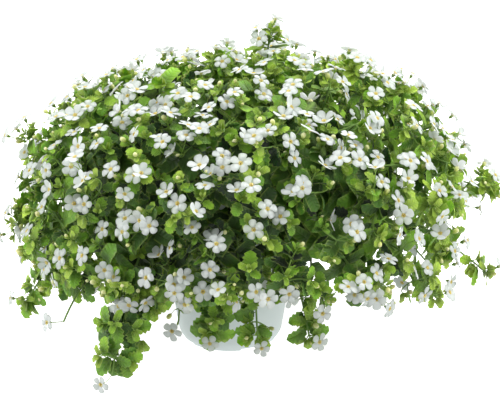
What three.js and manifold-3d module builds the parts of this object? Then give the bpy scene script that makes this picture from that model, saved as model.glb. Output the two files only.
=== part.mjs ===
// A potted bacopa: a white grower's pot, its potting soil, and a mound of leafy stems that carry
// white flowers with five lobes. Millimetres, +Z up, origin under the middle of the pot's base.
import * as THREE from 'three';
import { mergeVertices } from 'three/addons/utils/BufferGeometryUtils.js';
import Module from 'manifold-3d';

const wasm = await Module();
wasm.setup();

// Pot
const POT_SIDES = 28;
const POT_HEIGHT = 112;
const RIM_RADIUS = 71;
const RIM_HEIGHT = 9;
const RIM_LIP = 2.2;
const WALL = 1.8;
const HEEL_RADIUS = 52;
const HEEL_HEIGHT = 9;
const FOOT_RADIUS = 45.5;
const BASE_THICKNESS = 4.4;
const CHANNELS = 4;
const CHANNEL_WIDTH = 20;
const CHANNEL_HEIGHT = 2.8;
const CHANNEL_FROM = 24;
const CHANNEL_ANGLE = -64;
const DRAIN_RADIUS = 4.5;
const DRAIN_SIDES = 8;
const DRAIN_AT = 34;

// Soil
const FIT_GAP = 0.35;
const SOIL_TOP = 100;
const SOIL_CROWN = 4;
const HOLE_LENGTH = 24;

// Mound of foliage: its height, its waist where it is widest, and its reach at the waist
const MOUND_TOP = 296;
const MOUND_WAIST = 132;
const MOUND_RADIUS = 224;
const MOUND_LEAN = 14;
const MOUND_SPREAD = 9;
const MOUND_SQUARENESS = 0.78;
const MOUND_TOP_SHIFT = 16;
const SKIRT_DROP = 52;
const SKIRT_SIDE_DROP = 62;
const LOWEST_TUFT = THREE.MathUtils.degToRad(118);
const LATTICE_POWER = 1.06;
const STEMS = 42;
const TUFTS = 108;
const TUFT_INSET = 21;
const TUFT_LIFT = 0.3;

// Stems, as shares of their length where a share is named
const ROOT_SPREAD = 48;
const RUNNER_ROOT_RADIUS = 55;
const ROOT_DEPTH = 12;
const STEM_RADIUS = 1.9;
const TWIG_RADIUS = 1.25;
const JOINT_LENGTH = 3.2;
const STEM_RINGS = [0.2, 0.42];
const BRANCH_AT = 0.62;
const RUNNER_RINGS = [0.15, 0.36];
const RUNNER_JOINTS = [0.56, 0.78, 1];

// Flowers
const FLOWER_RADIUS = 10;
const LOBES = 5;
const NOTCH_RADIUS = 4.4;
const LOBE_HALF_ANGLE = 0.5;
const TUBE_LENGTH = 3.4;
const TUBE_RADIUS = 1.1;
const TWIN_SHARE = 0.6;
const FLOWER_TRIES = 10;

// Leaves. The edge is half a leaf's toothed outline: [out from the rib, along the rib] as shares
// of its length.
const LEAF_LENGTH = 34;
const LEAF_EDGE = [[0.46, 0.32], [0.33, 0.53], [0.37, 0.69]];
const LEAF_FOLD = 0.22;
const LEAF_DROOP = 0.24;
const LEAF_TILT = 1.25;
const LEAVES_PER_TUFT = 4;
const LEAVES_PER_BRANCHING = 2;
const LEAF_TRIES = 28;
const LEAF_SHRINK = 0.018;

// Shoots that stand out of the mound: their tips, as [x, y, z].
const STRAYS = [
  [38, 12, 300],
  [124, -8, 276],
  [104, 44, 262],
  [250, -16, 164],
  [-196, -16, 214],
  [-210, -10, 122],
];

// Long shoots that trail over the rim: the point that each arches over, its tip, and how many
// degrees its root is turned round the pot to pass the other stems.
const RUNNERS = [
  { over: [176, -44, 150], tip: [248, -62, 92], turn: 0 },
  { over: [150, -80, 140], tip: [196, -108, 82], turn: 0 },
  { over: [116, -102, 138], tip: [146, -134, 84], turn: 0 },
  { over: [62, -104, 130], tip: [76, -128, 50], turn: 0 },
  { over: [24, -106, 132], tip: [27, -124, 48], turn: 0 },
  { over: [-14, -108, 132], tip: [-16, -128, 52], turn: 0 },
  { over: [-44, -104, 132], tip: [-48, -120, 62], turn: 0 },
  { over: [-92, -150, 132], tip: [-108, -184, 32], turn: -4 },
  { over: [-128, -110, 132], tip: [-156, -134, 66], turn: 4 },
  { over: [-160, -58, 132], tip: [-196, -70, 66], turn: 0 },
  { over: [-150, 90, 132], tip: [-178, 108, 66], turn: 0 },
  { over: [-30, 150, 132], tip: [-40, 186, 62], turn: -4 },
  { over: [110, 130, 132], tip: [138, 160, 60], turn: 8 },
];

// Finishes
const POT_LOOK = { color: 0xcfd9d6, roughness: 0.45, metalness: 0 };
const SOIL_LOOK = { color: 0x2b2119, roughness: 0.95, metalness: 0 };
const FOLIAGE_LOOK = { color: 0x5f8f2c, roughness: 0.55, metalness: 0 };

const GOLDEN_ANGLE = Math.PI * (3 - Math.sqrt(5));
const THIRD = (2 * Math.PI) / 3;
const vector = (x, y, z) => new THREE.Vector3(x, y, z);

// Draws between 0 and 1 that follow from a seed, so the plant comes out the same every time.
function drawsFrom(seed) {
  let state = (seed * 7919 + 12345) % 4294967296;
  const draw = () => {
    state = (state * 1664525 + 1013904223) % 4294967296;
    return state / 4294967296;
  };
  draw();
  draw();
  return draw;
}

// Two directions square to a third, in right-handed order with it.
function axesAround(direction) {
  const helper = Math.abs(direction.z) < 0.9 ? vector(0, 0, 1) : vector(1, 0, 0);
  const across = helper.cross(direction).normalize();
  return [across, direction.clone().cross(across)];
}

// The direction at an angle round from the first of two axes towards the second.
function directionAt(angle, [across, over]) {
  return across.clone().multiplyScalar(Math.cos(angle)).addScaledVector(over, Math.sin(angle));
}

// Solids from geometry, and geometry from solids
function solidOf(geometry) {
  const bare = geometry.index ? geometry.toNonIndexed() : geometry.clone();
  bare.deleteAttribute('normal');
  bare.deleteAttribute('uv');
  const merged = mergeVertices(bare, 1e-3);
  return new wasm.Manifold(new wasm.Mesh({
    numProp: 3,
    vertProperties: merged.attributes.position.array,
    triVerts: new Uint32Array(merged.index.array),
  }));
}

function solidOfFaces(points, faces) {
  return new wasm.Manifold(new wasm.Mesh({
    numProp: 3,
    vertProperties: new Float32Array(points.flatMap((p) => [p.x, p.y, p.z])),
    triVerts: new Uint32Array(faces.flat()),
  }));
}

function geometryOf(solid) {
  const mesh = solid.getMesh();
  const geometry = new THREE.BufferGeometry();
  geometry.setAttribute('position', new THREE.BufferAttribute(mesh.vertProperties, 3));
  geometry.setIndex(new THREE.BufferAttribute(mesh.triVerts, 1));
  return geometry;
}

function named(name, geometry, look) {
  const flat = geometry.index ? geometry.toNonIndexed() : geometry;
  flat.computeVertexNormals();
  const mesh = new THREE.Mesh(flat, new THREE.MeshStandardMaterial(look));
  mesh.name = name;
  return mesh;
}

// A turned solid about Z from [radius, height] corners that start and end on the axis.
function turned(corners) {
  const profile = corners.map(([radius, height]) => new THREE.Vector2(radius, height));
  const lathe = new THREE.LatheGeometry(profile, POT_SIDES);
  return solidOf(lathe.rotateX(Math.PI / 2));
}

// Solids that are already in place. A new leaf, flower or twig has to be clear of them all.
const placed = [];
const LEAST_OVERLAP = 1e-7;

function place(solid) {
  placed.push({ solid, box: solid.boundingBox() });
}

function isClear(solid) {
  const box = solid.boundingBox();
  const meets = (other) => [0, 1, 2].every((k) => (
    box.min[k] <= other.max[k] && other.min[k] <= box.max[k]
  ));
  return !placed.some((other) => (
    meets(other.box) && solid.intersect(other.solid).volume() > LEAST_OVERLAP
  ));
}

// The pot wall's outer radius at a height: a straight taper from the heel to the rim.
function wallRadius(height) {
  const share = (height - HEEL_HEIGHT) / (POT_HEIGHT - HEEL_HEIGHT);
  return HEEL_RADIUS + (RIM_RADIUS - RIM_LIP - HEEL_RADIUS) * share;
}

// The pot: a thin tapered wall with a rolled rim, and a base with drains in radial channels.
function makePot() {
  const underRim = POT_HEIGHT - RIM_HEIGHT;
  let pot = turned([
    [0, 0],
    [FOOT_RADIUS, 0],
    [(FOOT_RADIUS + 2 * HEEL_RADIUS) / 3, HEEL_HEIGHT / 3],
    [HEEL_RADIUS, HEEL_HEIGHT],
    [wallRadius(underRim), underRim],
    [RIM_RADIUS, underRim],
    [RIM_RADIUS, POT_HEIGHT],
    [wallRadius(POT_HEIGHT) - WALL, POT_HEIGHT],
    [HEEL_RADIUS - WALL, HEEL_HEIGHT],
    [FOOT_RADIUS, BASE_THICKNESS],
    [0, BASE_THICKNESS],
  ]);
  const length = RIM_RADIUS - CHANNEL_FROM;
  for (let k = 0; k < CHANNELS; k += 1) {
    const angle = THREE.MathUtils.degToRad(CHANNEL_ANGLE + (360 / CHANNELS) * k);
    const channel = new THREE.BoxGeometry(length, CHANNEL_WIDTH, 2 * CHANNEL_HEIGHT);
    channel.translate(CHANNEL_FROM + length / 2, 0, 0);
    const depth = 3 * BASE_THICKNESS;
    const drain = new THREE.CylinderGeometry(DRAIN_RADIUS, DRAIN_RADIUS, depth, DRAIN_SIDES);
    drain.rotateX(Math.PI / 2).translate(DRAIN_AT, 0, 0);
    pot = pot.subtract(solidOf(channel.rotateZ(angle)));
    pot = pot.subtract(solidOf(drain.rotateZ(angle)));
  }
  place(pot);
  return named('pot', geometryOf(pot), POT_LOOK);
}

// A point of the mound: theta is the angle from its top and phi the angle round from +X.
function moundPoint(theta, phi, inset) {
  const rise = Math.cos(theta);
  const level = Math.sign(rise) * Math.abs(rise) ** MOUND_SQUARENESS;
  const skirt = SKIRT_DROP + SKIRT_SIDE_DROP * Math.cos(phi) ** 2;
  const reach = MOUND_RADIUS + MOUND_LEAN * Math.cos(phi) + MOUND_SPREAD * Math.cos(2 * phi);
  const radius = reach * Math.sin(theta) ** MOUND_SQUARENESS;
  const height = rise > 0 ? MOUND_TOP - MOUND_WAIST : skirt;
  const point = vector(
    radius * Math.cos(phi) + MOUND_TOP_SHIFT * Math.max(level, 0),
    radius * Math.sin(phi),
    MOUND_WAIST + height * level,
  );
  return point.addScaledVector(outwardAt(point), -inset);
}

function outwardAt(point) {
  return vector(point.x, point.y, 1.35 * (point.z - MOUND_WAIST)).normalize();
}

// Angles spread evenly over the mound, each a golden angle round from the last.
function lattice(count) {
  return Array.from({ length: count }, (_, i) => {
    const share = ((i + 0.5) / count) ** LATTICE_POWER;
    return {
      theta: Math.acos(1 - (1 - Math.cos(LOWEST_TUFT)) * share),
      phi: (i * GOLDEN_ANGLE) % (2 * Math.PI),
    };
  });
}

// A tuft is a shoot's leafy tip: where it is, and the way it points.
function tuftAt(point) {
  return { point, axis: outwardAt(point).add(vector(0, 0, TUFT_LIFT)).normalize() };
}

function makeTufts() {
  const onMound = lattice(TUFTS).map(({ theta, phi }) => (
    tuftAt(moundPoint(theta, phi, TUFT_INSET))
  ));
  const strays = STRAYS.map((tip) => tuftAt(vector(...tip)));
  return [...onMound, ...strays];
}

// Each stem feeds the tufts nearest to the middle of its own stretch of the mound.
function shareOut(tufts) {
  const stems = lattice(STEMS).map(({ theta, phi }) => (
    { theta, phi, middle: moundPoint(theta, phi, TUFT_INSET), tufts: [] }
  ));
  for (const tuft of tufts) {
    const reach = (stem) => stem.middle.distanceTo(tuft.point);
    stems.reduce((a, b) => (reach(b) < reach(a) ? b : a)).tufts.push(tuft);
  }
  for (const { middle, tufts: own } of stems) {
    own.sort((a, b) => a.point.distanceTo(middle) - b.point.distanceTo(middle));
  }
  return stems.filter((stem) => stem.tufts.length > 0);
}

function rootAt(radius, angle) {
  return vector(radius * Math.cos(angle), radius * Math.sin(angle), SOIL_TOP - ROOT_DEPTH);
}

// A stem rises from the soil, arches over the rim and ends at its first tuft.
function stemRoute({ theta, phi, tufts }) {
  const end = tufts[0].point;
  const root = rootAt(ROOT_SPREAD * (theta / LOWEST_TUFT) ** 0.75, phi);
  const rise = root.clone().lerp(end, 0.08);
  rise.z = SOIL_TOP + 40 + 0.3 * Math.max(end.z - SOIL_TOP, 0);
  const bend = root.clone().lerp(end, 0.7);
  bend.z = end.z + 48 - 105 * Math.cos(theta);
  return new THREE.CubicBezierCurve3(root, rise, bend, end);
}

// A runner rises steeply behind the rim, so that it clears it, and hangs from its arch.
function runnerRoute({ over, tip, turn }) {
  const angle = Math.atan2(over[1], over[0]) + THREE.MathUtils.degToRad(turn);
  const root = rootAt(RUNNER_ROOT_RADIUS, angle);
  const rise = vector(root.x, root.y, SOIL_TOP + 100);
  return new THREE.CubicBezierCurve3(root, rise, vector(...over), vector(...tip));
}

const ray = new THREE.Ray();
const meeting = new THREE.Vector3();

// Whether the straight line between two points passes through a triangle.
function passesThrough(from, to, [a, b, c]) {
  ray.origin.copy(from);
  ray.direction.copy(to).sub(from).normalize();
  const met = ray.intersectTriangle(a, b, c, false, meeting);
  return met !== null && meeting.distanceTo(from) < to.distanceTo(from);
}

// A plant stem as one closed mesh. Organs grow out of its faces, each in place of a face.
class Growth {
  constructor() {
    this.points = [];
    this.faces = [];
    this.boxes = [];
  }

  add(point) {
    this.points.push(point);
    return this.points.length - 1;
  }

  // A ring of three points about a centre, turned by a twist from an earlier loop of three.
  ring(loop, centre, direction, radius, twist = 0) {
    const axes = axesAround(direction);
    const start = loop ? this.angleOf(loop, axes) + twist : 0;
    return [0, 1, 2].map((k) => (
      this.add(centre.clone().addScaledVector(directionAt(start + k * THIRD, axes), radius))
    ));
  }

  // The mean angle of a loop's first corner about its middle, judged by all three corners.
  angleOf(loop, [across, over]) {
    const corners = loop.map((i) => this.points[i]);
    const middle = corners[0].clone().add(corners[1]).add(corners[2]).divideScalar(3);
    let cosine = 0;
    let sine = 0;
    corners.forEach((corner, k) => {
      const offset = corner.clone().sub(middle);
      const angle = Math.atan2(offset.dot(over), offset.dot(across)) - k * THIRD;
      cosine += Math.cos(angle);
      sine += Math.sin(angle);
    });
    return Math.atan2(sine, cosine);
  }

  // Walls between two rings, as six faces.
  join(lower, upper) {
    const first = this.faces.length;
    for (let k = 0; k < 3; k += 1) {
      const next = (k + 1) % 3;
      this.faces.push([lower[k], lower[next], upper[next]]);
      this.faces.push([lower[k], upper[next], upper[k]]);
    }
    return Array.from({ length: 6 }, (_, k) => first + k);
  }

  // The free face that looks most nearly along a direction.
  faceTowards(faces, direction) {
    const normal = vector(0, 0, 0);
    const looks = (i) => {
      const [a, b, c] = this.faces[i].map((k) => this.points[k]);
      return THREE.Triangle.getNormal(a, b, c, normal).dot(direction);
    };
    const free = faces.filter((i) => this.faces[i]);
    return free.reduce((a, b) => (looks(b) > looks(a) + 1e-6 ? b : a));
  }

  // Opens a face, grows an organ on its edge, and takes that off again if it crosses anything.
  grow(face, organ) {
    const pointMark = this.points.length;
    const faceMark = this.faces.length;
    const loop = this.faces[face];
    this.faces[face] = null;
    const made = organ(loop);
    const faces = this.faces.slice(faceMark).filter(Boolean);
    const solid = solidOfFaces(this.points, [...faces, [loop[0], loop[2], loop[1]]]);
    if (!this.crossesItself(faceMark) && isClear(solid)) {
      place(solid);
      return made ?? true;
    }
    this.points.length = pointMark;
    this.faces.length = faceMark;
    this.boxes.length = Math.min(this.boxes.length, faceMark);
    this.faces[face] = loop;
    return false;
  }

  // Whether any face made since a mark crosses another face of this mesh.
  crossesItself(mark) {
    for (let i = mark; i < this.faces.length; i += 1) {
      for (let j = 0; j < i; j += 1) {
        if (this.faces[i] && this.faces[j] && this.boxOf(i).intersectsBox(this.boxOf(j))) {
          if (this.stabs(this.faces[i], this.faces[j])) return true;
          if (this.stabs(this.faces[j], this.faces[i])) return true;
        }
      }
    }
    return false;
  }

  // Whether an edge of one face passes through another, apart from where they share a corner.
  stabs(face, other) {
    const triangle = other.map((k) => this.points[k]);
    return [0, 1, 2].some((k) => {
      const from = face[k];
      const to = face[(k + 1) % 3];
      if (other.includes(from) || other.includes(to)) return false;
      return passesThrough(this.points[from], this.points[to], triangle);
    });
  }

  boxOf(i) {
    this.boxes[i] ??= new THREE.Box3().setFromPoints(this.faces[i].map((k) => this.points[k]));
    return this.boxes[i];
  }

  geometry() {
    const corners = this.faces.filter(Boolean).flat().map((i) => this.points[i]);
    return new THREE.BufferGeometry().setFromPoints(corners);
  }
}

// A flower on its stalk: a narrow tube that opens into five broad lobes round a flat throat.
// A cup above 0 lifts the tips of the lobes and one below 0 bends them back.
function flower(growth, centre, facing, cup) {
  return (loop) => {
    const back = centre.clone().addScaledVector(facing, -TUBE_LENGTH);
    const throat = growth.ring(loop, back, facing, TUBE_RADIUS);
    growth.join(loop, throat);
    const first = growth.points[throat[0]].clone().sub(back).normalize();
    const axes = [first, facing.clone().cross(first)];
    const rimPoint = (angle, radius, lift) => ({
      angle,
      index: growth.add(centre.clone()
        .addScaledVector(directionAt(angle, axes), radius).addScaledVector(facing, lift)),
    });
    const lobes = Array.from({ length: LOBES }, (_, lobe) => {
      const start = (2 * Math.PI * lobe) / LOBES;
      const middle = start + Math.PI / LOBES;
      return [
        rimPoint(start, NOTCH_RADIUS, 0),
        rimPoint(middle - LOBE_HALF_ANGLE, FLOWER_RADIUS, cup),
        rimPoint(middle + LOBE_HALF_ANGLE, FLOWER_RADIUS, cup),
      ];
    });
    const rim = lobes.flat();
    const nearest = (angle) => throat[Math.floor(angle / THIRD + 0.5) % 3];
    rim.forEach(({ angle, index }, k) => {
      const next = rim[(k + 1) % rim.length];
      const here = nearest(angle);
      const there = nearest(next.angle);
      growth.faces.push([here, next.index, index]);
      if (here !== there) growth.faces.push([here, there, next.index]);
    });
    const notches = lobes.map(([notch]) => notch.index);
    lobes.forEach(([notch, left, right], k) => {
      growth.faces.push([notch.index, left.index, right.index]);
      growth.faces.push([notch.index, right.index, notches[(k + 1) % LOBES]]);
    });
    for (let k = 1; k + 1 < LOBES; k += 1) {
      growth.faces.push([notches[0], notches[k], notches[k + 1]]);
    }
  };
}

// A leaf: a blade with a toothed edge, thickest at its stalk, folded up from its rib and drooping
// to its tip.
function leaf(growth, along, above, length) {
  return (loop) => {
    const right = above.clone().cross(along).normalize();
    const height = (i) => growth.points[i].dot(above);
    const [upper, side, lower] = [...loop].sort((a, b) => height(b) - height(a));
    const base = growth.points[upper].clone().add(growth.points[lower]).multiplyScalar(0.5);
    const edgePoint = (out, ahead) => growth.add(base.clone()
      .addScaledVector(right, out * length)
      .addScaledVector(along, ahead * length)
      .addScaledVector(above, length * (LEAF_FOLD * Math.abs(out) - LEAF_DROOP * ahead ** 2)));
    const edge = [
      ...LEAF_EDGE.map(([out, ahead]) => edgePoint(-out, ahead)),
      edgePoint(0, 1),
      ...LEAF_EDGE.map(([out, ahead]) => edgePoint(out, ahead)).reverse(),
    ];
    const first = edge[0];
    const last = edge[edge.length - 1];
    if (loop[(loop.indexOf(upper) + 1) % 3] === side) {
      growth.faces.push([upper, side, first], [side, lower, first], [lower, upper, last]);
    } else {
      growth.faces.push([upper, lower, first], [lower, side, last], [side, upper, last]);
    }
    for (let k = 0; k + 1 < edge.length; k += 1) {
      growth.faces.push([upper, edge[k], edge[k + 1]], [lower, edge[k + 1], edge[k]]);
    }
  };
}

// One or two flowers over a tuft. Each tries several places and stays at the first that is clear.
function growFlowers(growth, faces, tuft, seed) {
  const draw = drawsFrom(seed);
  const axes = axesAround(tuft.axis);
  const count = draw() < TWIN_SHARE ? 2 : 1;
  const turn = 2 * Math.PI * draw();
  for (let k = 0; k < count; k += 1) {
    for (let attempt = 0; attempt < FLOWER_TRIES; attempt += 1) {
      const angle = turn + k * Math.PI + (1 + attempt / 2) * (draw() - 0.5);
      const lean = directionAt(angle, axes);
      const centre = tuft.point.clone()
        .addScaledVector(tuft.axis, 15 + 6 * draw())
        .addScaledVector(lean, 11 + 5 * draw());
      const facing = tuft.axis.clone().addScaledVector(lean, 0.15 + 0.45 * draw()).normalize();
      const bloom = flower(growth, centre, facing, 1.4 * (draw() - 0.6));
      if (growth.grow(growth.faceTowards(faces, lean), bloom)) break;
    }
  }
}

// Leaves round a tuft. Each tries several turns, tilts and sizes and stays at the first that is
// clear. The tries range more widely, and shrink, as they go on.
function growLeaves(growth, faces, axis, seed, count, length) {
  const draw = drawsFrom(seed);
  const axes = axesAround(axis);
  const turn = 2 * Math.PI * draw();
  for (let k = 0; k < count; k += 1) {
    for (let attempt = 0; attempt < LEAF_TRIES; attempt += 1) {
      const size = length * (1.1 - LEAF_SHRINK * attempt);
      const looseness = 0.5 + 2.5 * (attempt / LEAF_TRIES);
      const lean = directionAt(turn + (k * 2 * Math.PI) / count + looseness * (draw() - 0.5), axes);
      const tilt = LEAF_TILT + 0.35 * looseness * (draw() - 0.5);
      const along = directionAt(tilt, [axis, lean]);
      const above = directionAt(tilt, [lean.clone().negate(), axis]);
      const face = growth.faceTowards(faces, lean);
      if (growth.grow(face, leaf(growth, along, above, size))) break;
    }
  }
}

// A short thick joint of the stem, where leaves, flowers and side shoots start. Its ends are
// turned a sixth from each other, so its six faces look six ways.
function joint(growth, loop, centre, direction, radius) {
  const lower = growth.ring(loop, centre, direction, radius);
  const tip = centre.clone().addScaledVector(direction, JOINT_LENGTH);
  const upper = growth.ring(lower, tip, direction, radius, -THIRD / 2);
  growth.join(loop, lower);
  return { upper, faces: growth.join(lower, upper) };
}

// The way that a stem's foot points: straight from its root to its first ring.
function footDirection(route, rings) {
  return route.getPoint(rings[0]).sub(route.getPoint(0)).normalize();
}

// The bare wood of a stem along its route, with plain rings and joints at the shares given.
function growStem(route, rings, jointsAt) {
  const growth = new Growth();
  const foot = growth.ring(null, route.getPoint(0), footDirection(route, rings), STEM_RADIUS);
  growth.faces.push([foot[0], foot[2], foot[1]]);
  const joints = new Map();
  let loop = foot;
  for (const share of [...rings, ...jointsAt].sort((a, b) => a - b)) {
    const centre = route.getPoint(share);
    const direction = route.getTangent(share);
    const radius = THREE.MathUtils.lerp(STEM_RADIUS, TWIG_RADIUS, share);
    if (jointsAt.includes(share)) {
      const { upper, faces } = joint(growth, loop, centre, direction, radius);
      joints.set(share, faces);
      loop = upper;
    } else {
      const ring = growth.ring(loop, centre, direction, radius);
      growth.join(loop, ring);
      loop = ring;
    }
  }
  growth.faces.push([...loop]);
  place(solidOfFaces(growth.points, growth.faces));
  return { route, growth, joints };
}

// A side shoot: one straight twig from a joint of the stem to a joint under its own tuft.
function growSideShoot(growth, faces, tuft) {
  const twig = (loop) => {
    const made = joint(growth, loop, tuft.point, tuft.axis, TWIG_RADIUS);
    growth.faces.push([...made.upper]);
    return made.faces;
  };
  const untried = faces.filter((i) => growth.faces[i]);
  const start = growth.points[growth.faces[untried[0]][0]];
  const direction = tuft.point.clone().sub(start).normalize();
  while (untried.length > 0) {
    const face = growth.faceTowards(untried, direction);
    const made = growth.grow(face, twig);
    if (made) return made;
    untried.splice(untried.indexOf(face), 1);
  }
  throw new Error('no way clear for a side shoot');
}

function growLeafyStem(stem) {
  const grown = growStem(stemRoute(stem), STEM_RINGS, [BRANCH_AT, 1]);
  const branching = grown.joints.get(BRANCH_AT);
  const heads = stem.tufts.map((tuft, k) => (
    k === 0 ? grown.joints.get(1) : growSideShoot(grown.growth, branching, tuft)
  ));
  return { ...grown, branching, tufts: stem.tufts, heads };
}

// A runner's joint has a flower on its upper side, and leaves all round.
function dressRunner({ growth, joints, route }, seed) {
  const draw = drawsFrom(seed);
  RUNNER_JOINTS.forEach((share, k) => {
    const faces = joints.get(share);
    const axis = route.getTangent(share);
    if (share === 1 || draw() < 0.7) {
      const sky = vector(0, 0, 1).addScaledVector(outwardAt(route.getPoint(share)), 0.8);
      const side = sky.addScaledVector(axis, -sky.dot(axis)).normalize();
      const centre = route.getPoint(share)
        .addScaledVector(side, 15 + 4 * draw()).addScaledVector(axis, 6 + 4 * draw());
      const facing = side.clone().addScaledVector(axis, 0.3).normalize();
      const bloom = flower(growth, centre, facing, 1.4 * (draw() - 0.6));
      growth.grow(growth.faceTowards(faces, side), bloom);
    }
    growLeaves(growth, faces, axis, seed + k + 1, share === 1 ? 3 : 2, 0.85 * LEAF_LENGTH);
  });
}

// All the bare stems come first, then every flower, and then leaves in the room that is left.
function makeStems() {
  const stems = shareOut(makeTufts()).map(growLeafyStem);
  const runners = RUNNERS.map((runner) => (
    growStem(runnerRoute(runner), RUNNER_RINGS, RUNNER_JOINTS)
  ));
  stems.forEach(({ growth, tufts, heads }, i) => tufts.forEach((tuft, k) => {
    growFlowers(growth, heads[k], tuft, 100 * i + k);
  }));
  runners.forEach((runner, i) => dressRunner(runner, 9000 + 10 * i));
  stems.forEach(({ growth, tufts, heads }, i) => tufts.forEach((tuft, k) => {
    growLeaves(growth, heads[k], tuft.axis, 5000 + 100 * i + k, LEAVES_PER_TUFT, LEAF_LENGTH);
  }));
  stems.forEach(({ growth, branching, route }, i) => {
    const { axis } = tuftAt(route.getPoint(BRANCH_AT));
    growLeaves(growth, branching, axis, 12000 + i, LEAVES_PER_BRANCHING, 1.1 * LEAF_LENGTH);
  });
  return { stems, runners };
}

// The hole that a stem stands in: its own foot, carried up past the soil, a gap wider all round.
function footHole(route, rings) {
  const hole = new Growth();
  const direction = footDirection(route, rings);
  const start = route.getPoint(0).addScaledVector(direction, -1);
  const end = start.clone().addScaledVector(direction, HOLE_LENGTH);
  const radius = STEM_RADIUS + 2 * FIT_GAP;
  const low = hole.ring(null, start, direction, radius);
  const high = hole.ring(low, end, direction, radius);
  hole.faces.push([low[0], low[2], low[1]], [...high]);
  hole.join(low, high);
  return solidOfFaces(hole.points, hole.faces);
}

// The soil fills the pot to a little under its rim, and is higher in the middle.
function makeSoil(stems, runners) {
  const innerAt = (height) => wallRadius(height) - WALL - FIT_GAP;
  const floor = BASE_THICKNESS + FIT_GAP;
  let soil = turned([
    [0, floor],
    [FOOT_RADIUS - 1, floor],
    [innerAt(HEEL_HEIGHT), HEEL_HEIGHT + FIT_GAP],
    [innerAt(SOIL_TOP), SOIL_TOP],
    [0, SOIL_TOP + SOIL_CROWN],
  ]);
  for (const { route } of stems) soil = soil.subtract(footHole(route, STEM_RINGS));
  for (const { route } of runners) soil = soil.subtract(footHole(route, RUNNER_RINGS));
  return named('soil', geometryOf(soil), SOIL_LOOK);
}

const plant = new THREE.Group();
plant.add(makePot());
const { stems, runners } = makeStems();
plant.add(makeSoil(stems, runners));
const numbered = (name, i) => `${name}_${String(i + 1).padStart(2, '0')}`;
stems.forEach(({ growth }, i) => {
  plant.add(named(numbered('leafy_stem', i), growth.geometry(), FOLIAGE_LOOK));
});
runners.forEach(({ growth }, i) => {
  plant.add(named(numbered('runner', i), growth.geometry(), FOLIAGE_LOOK));
});

export default plant;
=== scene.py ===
# %% [markdown]
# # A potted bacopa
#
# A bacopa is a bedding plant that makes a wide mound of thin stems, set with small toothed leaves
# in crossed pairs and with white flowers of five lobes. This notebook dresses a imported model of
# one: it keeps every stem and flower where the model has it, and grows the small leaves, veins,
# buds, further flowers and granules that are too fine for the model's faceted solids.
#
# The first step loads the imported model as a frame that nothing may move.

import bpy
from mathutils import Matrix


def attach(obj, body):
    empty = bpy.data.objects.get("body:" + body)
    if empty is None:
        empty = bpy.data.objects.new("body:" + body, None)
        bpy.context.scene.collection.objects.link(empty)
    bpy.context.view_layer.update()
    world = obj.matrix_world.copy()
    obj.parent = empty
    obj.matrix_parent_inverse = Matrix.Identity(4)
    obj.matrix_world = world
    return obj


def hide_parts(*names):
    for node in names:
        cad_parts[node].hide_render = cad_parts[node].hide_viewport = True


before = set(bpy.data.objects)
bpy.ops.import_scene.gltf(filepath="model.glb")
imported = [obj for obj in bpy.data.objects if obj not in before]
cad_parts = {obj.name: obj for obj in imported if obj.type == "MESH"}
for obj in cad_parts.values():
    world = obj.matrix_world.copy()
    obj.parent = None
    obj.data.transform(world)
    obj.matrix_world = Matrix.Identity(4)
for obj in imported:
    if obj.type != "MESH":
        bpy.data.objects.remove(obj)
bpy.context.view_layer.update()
print("the frame has", len(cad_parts), "nodes")

# %% [markdown]
# Blender works in metres, but a plant is easier to think about in millimetres. So every shape
# below is worked out in millimetres, and is turned into metres once, when its mesh is made.
# The small helpers work on whole arrays of vectors, with the last axis holding x, y and z.

import bpy
import numpy as np

MM = 0.001
TURN = 2 * np.pi
UP = np.array([0.0, 0.0, 1.0])
STEEP = 0.9


def unit(vectors):
    """Each vector divided by its length."""
    return vectors / np.linalg.norm(vectors, axis=-1, keepdims=True)


def dot(a, b):
    """The sum of the products along the last axis, which is kept."""
    return np.sum(a * b, axis=-1, keepdims=True)


def axes_around(direction):
    """Two directions square to each direction: Z (or X for steep ones) crossed with it, and its
    cross product with that."""
    helper = np.where(np.abs(direction[..., 2:]) < STEEP, UP, np.array([1.0, 0.0, 0.0]))
    across = unit(np.cross(helper, direction))
    return across, np.cross(direction, across)


def turned(angle, across, over):
    """The direction at an angle from across towards over: across cos(angle) + over sin(angle)."""
    angle = np.asarray(angle)[..., None]
    return across * np.cos(angle) + over * np.sin(angle)


def bezier(corners, count):
    """Points of Bezier curves of 3 or 4 corners at count even shares, by Bernstein's formula.
    The corners have the shape (..., corner, 3)."""
    corners = np.asarray(corners, float)
    share = np.linspace(0, 1, count)[:, None]
    degree = corners.shape[-2] - 1
    weights = [1, degree, degree, 1] if degree == 3 else [1, degree, 1]
    return sum(
        weight * (1 - share) ** (degree - k) * share**k * corners[..., k : k + 1, :]
        for k, weight in enumerate(weights)
    )


def rounded_step(low, high, value):
    """Rises smoothly from 0 at low to 1 at high: 3 s s - 2 s s s of the share s between them."""
    share = np.clip((value - low) / (high - low), 0, 1)
    return share * share * (3 - 2 * share)


# %% [markdown]
# ## Camera and light
#
# The photograph was taken from a little above, with a long lens, so lines that run away from the
# camera hardly meet. A camera nearly two metres off with a long lens gives the same view. At the
# pot's axis one pixel of the photograph is one millimetre.

# %% Camera
PHOTO_WIDTH = 500
PIXEL = 1.0 * MM
CAMERA_DISTANCE = 1.9
CAMERA_ELEVATION = np.radians(17.3)
AIM = np.array([0.020, 0.0, 0.1444])
SENSOR_WIDTH = 36

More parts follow.
